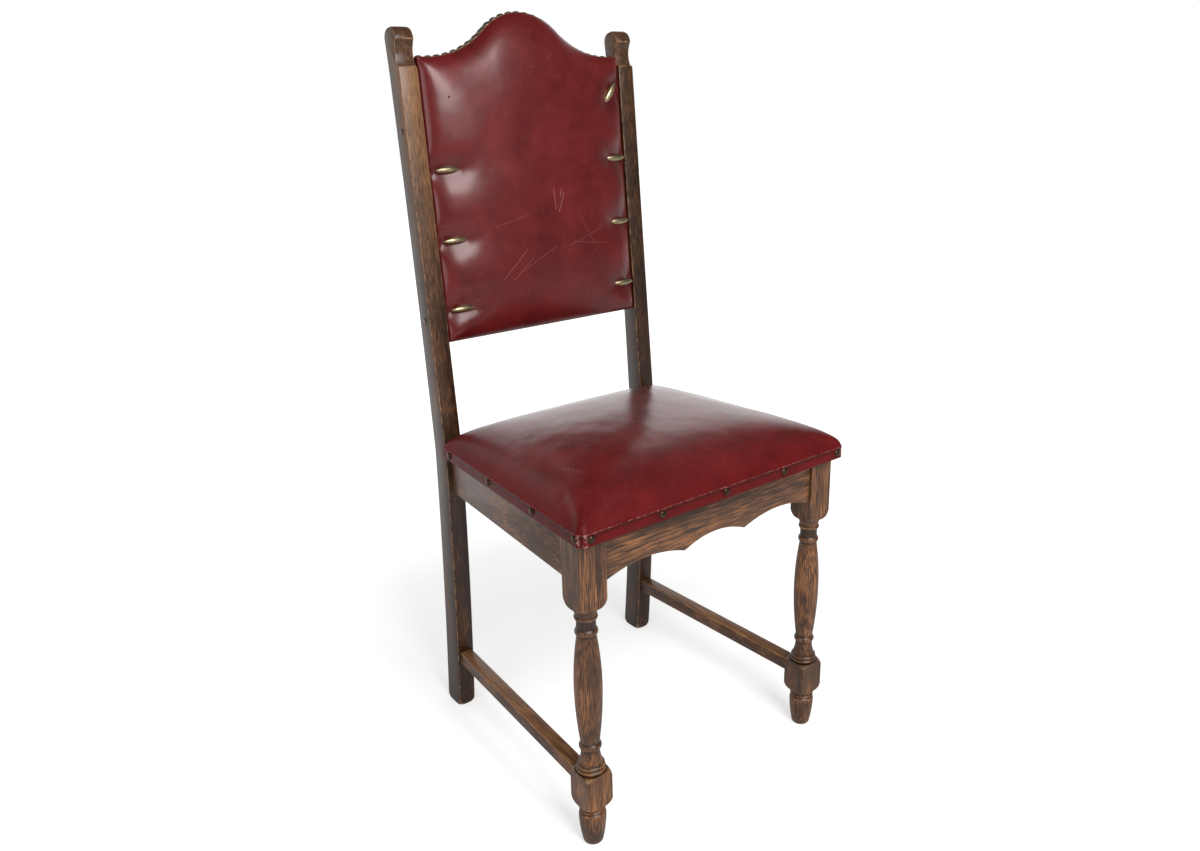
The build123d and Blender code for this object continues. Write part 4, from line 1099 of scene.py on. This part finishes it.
class CHAIR_OT_back(bpy.types.Operator):
    """Stuffed leather panel, drawn in at its studs, with its rear cover"""
    bl_idname = "chair.back"
    bl_label = "Back panel"

    def execute(self, context):
        sizes = context.scene.chair_sizes
        bm = fresh()
        wear_and_highlight = bm.verts.layers.float["wear_and_highlight"]
        grime_and_shade = bm.verts.layers.float["grime_and_shade"]
        polish_and_sheen = bm.verts.layers.float["polish_and_sheen"]
        bmesh.ops.create_grid(bm, x_segments=84, y_segments=100, size=1.0)
        rim = {v for e in bm.edges if e.is_boundary for v in e.verts}

        def crown(across, up):
            gap = nearest_edge(PANEL_HALF - abs(across), up - PANEL_BOTTOM, 0.93 * (panel_top(across) - up))
            level = min(gap / PANEL_SWELL, 1.0)
            return PANEL_FACE + sizes.panel_crown * (1 - (1 - level) ** 2) ** 0.6

        long_half = (sizes.stud_length - sizes.stud_width) / 2
        drawn = []
        for across, up, turn in stud_places():
            middle = Vector((across, up))
            run = Vector((math.cos(turn), math.sin(turn))) * long_half
            edge = Vector((math.copysign(PANEL_HALF, across), up))
            drawn.append((middle - run, middle + run, edge, crown(across, up) - STUD_SEAT + 0.8 * MM))
        under_studs = set()
        plain = []
        for vert in bm.verts:
            across = crowd(vert.co.x) * PANEL_HALF
            up = PANEL_BOTTOM + (crowd(vert.co.y) + 1) / 2 * (panel_top(across) - PANEL_BOTTOM)
            forward = crown(across, up)
            here = Vector((across, up))
            sunk = 0.0
            for start, end, edge, deep in drawn:
                gap = reach_of(here, start, end)
                sunk = max(sunk, deep * math.exp(-(max(gap - 3 * MM, 0) / (17 * MM)) ** 1.4))
                valley = reach_of(here, (start + end) / 2, edge)
                sunk = max(sunk, 0.85 * deep * math.exp(-(valley / (13 * MM)) ** 2))
                if gap < 5 * MM:
                    under_studs.add(vert)
            if sunk < 0.5 * MM and vert not in rim:
                plain.append(vert)
            lost = (here - Vector((-STUD_X, STUD_ROWS[3]))).length
            sunk = max(sunk, 0.7 * MM * math.exp(-(lost / (6 * MM)) ** 2))
            vert.co = (across, up, forward - sunk * min(max(forward - PANEL_FACE, 0) / (6 * MM), 1))
            # Painted shade darkens the dimples drawn in at the studs
            vert[grime_and_shade] = 0.35 * min(sunk / (6 * MM), 1.0)
            vert[polish_and_sheen] = 0.55
        swell(bm, lambda vert: vert in rim or vert in under_studs, 2.5, 4 * MM)
        smooth_rise(bm, plain, 16)
        loose = [vert for vert in bm.verts if vert not in rim and vert not in under_studs]
        smooth_rise(bm, loose, 8)
        for vert in loose:
            vert.co.z += noise.noise(vert.co * 26) * 0.4 * MM + noise.noise(vert.co * 80) * 0.12 * MM
        edges = [e for e in bm.edges if e.is_boundary]

        def outward(point):
            if abs(point.x) > PANEL_HALF - 0.6 * MM:
                return Vector((math.copysign(1, point.x), 0, 0))
            return Vector((0, 1 if point.y > PANEL_BOTTOM + 0.1 else -1, 0))

        rings = skirt(bm, edges, Vector((0, 0, -1)), outward, [
            (0.3 * MM, 0.8 * MM), (0.1 * MM, 1.2 * MM), (0.0, 5.0 * MM), (0.0, 6.0 * MM), (0.0, 6.5 * MM)])
        # Painted shade on the edges where the leather turns down against the frame
        for ring in rings:
            for vert in ring:
                vert[polish_and_sheen] = 0.0
                vert[grime_and_shade] = 0.4
        for vert in rim:
            vert[polish_and_sheen] = 0.15
        bmesh.ops.holes_fill(bm, edges=[e for e in bm.edges if e.is_boundary], sides=0)
        for vert in bm.verts:
            vert.co = on_back(*vert.co)
        panel = settle(
            bm, "back_cushion", oxblood(), ["back_front_cover", "back_padding"], 50)

        bm = fresh()
        bmesh.ops.create_grid(bm, x_segments=60, y_segments=70, size=1.0)
        for vert in bm.verts:
            across = vert.co.x * (PANEL_HALF - 0.5 * MM)
            height = panel_top(across) - PANEL_BOTTOM - 0.5 * MM
            up = PANEL_BOTTOM + (vert.co.y + 1) / 2 * height + 0.25 * MM
            gap = nearest_edge(PANEL_HALF - abs(across), up - PANEL_BOTTOM, panel_top(across) - up)
            slack = min(gap / (40 * MM), 1.0) * noise.noise(Vector((across, up, 0)) * 11) * 0.35 * MM
            vert.co = on_back(across, up, PANEL_REAR - 0.75 * MM + slack)
        sheet = settle(bm, "rear_leather", oxblood(), ["back_rear_cover"], 50)
        wall = sheet.modifiers.new("thickness", "SOLIDIFY")
        wall.thickness = 1.5 * MM
        wall.offset = 0
        return {"FINISHED"}


def dome(bm, radius, rise, matrix, seed):
    """Hammered nail head on a place, with a slightly flattened rim."""
    chance = random.Random(seed)
    kept = ball_top(bm, 22, 16, -0.02)
    for vert in kept:
        vert.co.z = vert.co.z * rise + 0.15 * MM * chance.uniform(-0.5, 0.5)
        vert.co.x *= radius
        vert.co.y *= radius
    lean = Matrix.Rotation(math.radians(chance.uniform(-4, 4)), 4, "X")
    lean = lean @ Matrix.Rotation(math.radians(chance.uniform(-4, 4)), 4, "Y")
    bmesh.ops.transform(bm, matrix=matrix @ lean, verts=kept)


def facing(place, out, along):
    """Matrix that stands a piece on a place, facing out."""
    out = out.normalized()
    along = (along - out * along.dot(out)).normalized()
    beside = out.cross(along)
    return Matrix.Translation(place) @ Matrix((along, beside, out)).transposed().to_4x4()


class CHAIR_OT_nails(bpy.types.Operator):
    """Domed nails round the seat and along the back's crest, and the crest's cut edge"""
    bl_idname = "chair.nails"
    bl_label = "Nails"

    def execute(self, context):
        sizes = context.scene.chair_sizes
        bm = fresh()
        seed = 0
        for across in FRONT_NAILS:
            place = on_seat(across, -SKIN, NAIL_LINE)
            out = on_seat(0, -1, 0) - on_seat(0, 0, 0)
            dome(bm, sizes.nail_radius, sizes.nail_rise, facing(place, out, Vector((1, 0, 0))), seed)
            seed += 1
        for side in (-1, 1):
            for depth in SIDE_NAILS:
                taper = (SEAT_HALF_POST - SEAT_HALF_FRONT) / SEAT_DEPTH
                out = on_seat(side, -taper, 0) - on_seat(0, 0, 0)
                place = on_seat(side * seat_half(depth), depth, NAIL_LINE)
                dome(bm, sizes.nail_radius, sizes.nail_rise, facing(place, out, Vector((0, 1, 0))), seed)
                seed += 1
        settle(bm, "seat_nail_heads", bronzed_nail(), ["seat_nails"], 60)

        bm = fresh()
        for place, out in crest_places(CREST_NAILS):
            spot = on_back(place.x, place.y, RIM_MIDDLE) + Vector((out.x, 0, 0)) * 0.3 * MM
            way = Vector((out.x, 0, 0)) + BACK_UP * out.y
            dome(bm, sizes.crest_nail_radius, 3.2 * MM, facing(spot, way, BACK_FORWARD), seed)
            seed += 1
        settle(bm, "crest_nail_heads", crest_nail_painted_sheen(), ["crest_nails"], 60)

        bm = fresh()
        steps = 120
        bmesh.ops.create_grid(bm, x_segments=steps, y_segments=2, size=1.0)
        for vert in bm.verts:
            across = vert.co.x * (PANEL_HALF - 1 * MM)
            lift = 0.9 * MM if abs(vert.co.y) < 0.5 else 0.1 * MM
            vert.co = on_back(across, panel_top(across) + lift, -5.2 * MM + vert.co.y * 1.4 * MM)
        settle(bm, "crest_edge", hide_edge(), [], 60)
        return {"FINISHED"}


class CHAIR_OT_studs(bpy.types.Operator):
    """Long oval brass studs that draw the back in, and the shank of a lost one"""
    bl_idname = "chair.studs"
    bl_label = "Back studs"

    def execute(self, context):
        sizes = context.scene.chair_sizes
        bm = fresh()
        for across, up, turn in stud_places():
            kept = ball_top(bm, 40, 20, -0.25)
            for vert in kept:
                point = abs(vert.co.x)
                vert.co.y *= sizes.stud_width / 2 * (1 - 0.22 * point ** 3)
                vert.co.x *= sizes.stud_length / 2
                vert.co.z *= sizes.stud_rise * (1 - 0.25 * point ** 2)
            along = Vector((math.cos(turn), 0, 0)) + BACK_UP * math.sin(turn)
            bmesh.ops.transform(
                bm, matrix=facing(on_back(across, up, STUD_SEAT), BACK_FORWARD, along), verts=kept)
        settle(bm, "stud_heads", aged_brass(), ["back_studs"], 60)

        bm = fresh()
        bmesh.ops.create_uvsphere(bm, u_segments=14, v_segments=8, radius=1.3 * MM)
        context.view_layer.update()
        before = on_back(-STUD_X, STUD_ROWS[3], PANEL_FACE + 2 * sizes.panel_crown)
        spot = bpy.data.objects["back_cushion"].closest_point_on_mesh(before)[1]
        bmesh.ops.translate(bm, verts=bm.verts, vec=spot)
        settle(bm, "broken_shank", rusted_shank(), [], 60)
        return {"FINISHED"}


class CHAIR_OT_hidden(bpy.types.Operator):
    """Finishes of the boards, blocks and screws that stay as they are"""
    bl_idname = "chair.hidden"
    bl_label = "Boards, blocks and screws"

    def execute(self, context):
        blocks = [f"corner_block_{end}_{side}" for end in ("front", "rear") for side in ("left", "right")]
        finishes = {name: plain_wood() for name in ["seat_board", "back_board"] + blocks}
        finishes.update({name: screw_steel() for name in ("seat_screws", "back_screws")})
        for name, material in finishes.items():
            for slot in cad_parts[name].material_slots:
                slot.material = material
        return {"FINISHED"}


class CHAIR_OT_stage(bpy.types.Operator):
    """Pale floor, soft studio light and the camera"""
    bl_idname = "chair.stage"
    bl_label = "Stage"

    def execute(self, context):
        scene = context.scene
        scene.view_settings.view_transform = "Standard"

        bm = bmesh.new()
        bmesh.ops.create_circle(bm, cap_ends=True, radius=9.0, segments=96)
        mesh = bpy.data.meshes.new("floor")
        bm.to_mesh(mesh)
        bm.free()
        floor = bpy.data.objects.new("floor", mesh)
        scene.collection.objects.link(floor)
        paint, tree = blank_material("pale_floor")
        seen, in_gloss = facing_rays(tree)
        spot = add(tree, "ShaderNodeTexCoord", out=3)
        away = add(tree, "ShaderNodeVectorMath", {0: spot}, out=1, operation="LENGTH")
        # Away from the chair the floor runs out into the white backdrop
        glow = ramp(tree, away, 0.4, 1.4, 0.55, 0.95)
        # The floor in front of the chair lies in the darker room, as its gloss shows
        room = backward(tree, spot, 0.1, 0.9, 0.04, 1.0)
        share = add(tree, "ShaderNodeMix", {0: in_gloss, 2: 1.0, 3: room}, data_type="FLOAT")
        dress(paint, {
            "Base Color": (*linear("DCDCDC"), 1), "Roughness": 0.7, "Specular IOR Level": 0.1,
            "Emission Color": (1, 1, 1, 1), "Emission Strength": times(tree, seen, times(tree, glow, share))})
        mesh.materials.append(paint)

        world = bpy.data.worlds.new("studio")
        world.use_nodes = True
        scene.world = world
        tree = world.node_tree
        shown, in_gloss = facing_rays(tree)
        strength = ramp(tree, shown, 0.0, 1.0, 0.36, 1.0)
        # The backdrop behind the chair is white, and the room in front of it is darker
        way = add(tree, "ShaderNodeTexCoord")
        room = backward(tree, way, 0.1, 0.6, 0.12, 1.0)
        height = add(
            tree, "ShaderNodeVectorMath", {0: way, 1: (0.0, 0.0, 1.0)}, out=1, operation="DOT_PRODUCT")
        above = ramp(tree, height, 0.42, 0.58, 1.0, 0.06)
        dim = add(tree, "ShaderNodeMath", {0: room, 1: above}, operation="MINIMUM")
        grey = add(tree, "ShaderNodeMix", {0: in_gloss, 2: 1.0, 3: dim}, data_type="FLOAT")
        plug(tree, tree.nodes["Background"].inputs["Color"], grey)
        plug(tree, tree.nodes["Background"].inputs["Strength"], strength)

        for name, place, width, height, power, shine in LAMPS:
            lamp = bpy.data.lights.new(name, "AREA")
            lamp.shape = "RECTANGLE"
            lamp.size = width
            lamp.size_y = height
            lamp.energy = power
            lamp.specular_factor = shine
            light = bpy.data.objects.new(name, lamp)
            aim = Vector((0, 0, 0.6)) - Vector(place)
            light.matrix_world = Matrix.Translation(place) @ aim.to_track_quat("-Z", "Y").to_matrix().to_4x4()
            scene.collection.objects.link(light)

        lens = bpy.data.cameras.new("camera")
        lens.sensor_width = 36
        lens.lens = lens.sensor_width * FOCAL / IMAGE_WIDTH
        lens.shift_x = (IMAGE_WIDTH / 2 - IMAGE_MIDDLE[0]) / IMAGE_WIDTH
        lens.shift_y = (IMAGE_MIDDLE[1] - IMAGE_HEIGHT / 2) / IMAGE_WIDTH
        camera = bpy.data.objects.new("camera", lens)
        turn = Matrix.Rotation(math.radians(CAMERA_YAW), 4, "Z")
        turn = turn @ Matrix.Rotation(math.radians(90 + CAMERA_PITCH), 4, "X")
        turn = turn @ Matrix.Rotation(math.radians(CAMERA_ROLL), 4, "Z")
        camera.matrix_world = Matrix.Translation(CAMERA_PLACE) @ turn
        scene.collection.objects.link(camera)
        scene.camera = camera
        return {"FINISHED"}


OPERATORS = (
    CHAIR_OT_posts, CHAIR_OT_plugs, CHAIR_OT_legs, CHAIR_OT_rails, CHAIR_OT_seat, CHAIR_OT_back,
    CHAIR_OT_nails, CHAIR_OT_studs, CHAIR_OT_hidden, CHAIR_OT_stage)


class CHAIR_PT_panel(bpy.types.Panel):
    """Pieces of the chair"""
    bl_idname = "CHAIR_PT_panel"
    bl_label = "Dining chair"
    bl_space_type = "VIEW_3D"
    bl_region_type = "UI"
    bl_category = "Chair"

    def draw(self, context):
        for group in (context.scene.chair_sizes, context.scene.chair_colours):
            for key in group.__annotations__:
                self.layout.prop(group, key)
        for operator in OPERATORS:
            self.layout.operator(operator.bl_idname)


CLASSES = (ChairSizes, ChairColours, *OPERATORS, CHAIR_PT_panel)


def register():
    for cls in CLASSES:
        bpy.utils.register_class(cls)
    bpy.types.Scene.chair_sizes = PointerProperty(type=ChairSizes)
    bpy.types.Scene.chair_colours = PointerProperty(type=ChairColours)


def unregister():
    del bpy.types.Scene.chair_colours
    del bpy.types.Scene.chair_sizes
    for cls in reversed(CLASSES):
        bpy.utils.unregister_class(cls)


def main():
    register()
    for operator in OPERATORS:
        group, name = operator.bl_idname.split(".")
        getattr(getattr(bpy.ops, group), name)()
    bpy.context.view_layer.update()


if __name__ == "__main__":
    main()
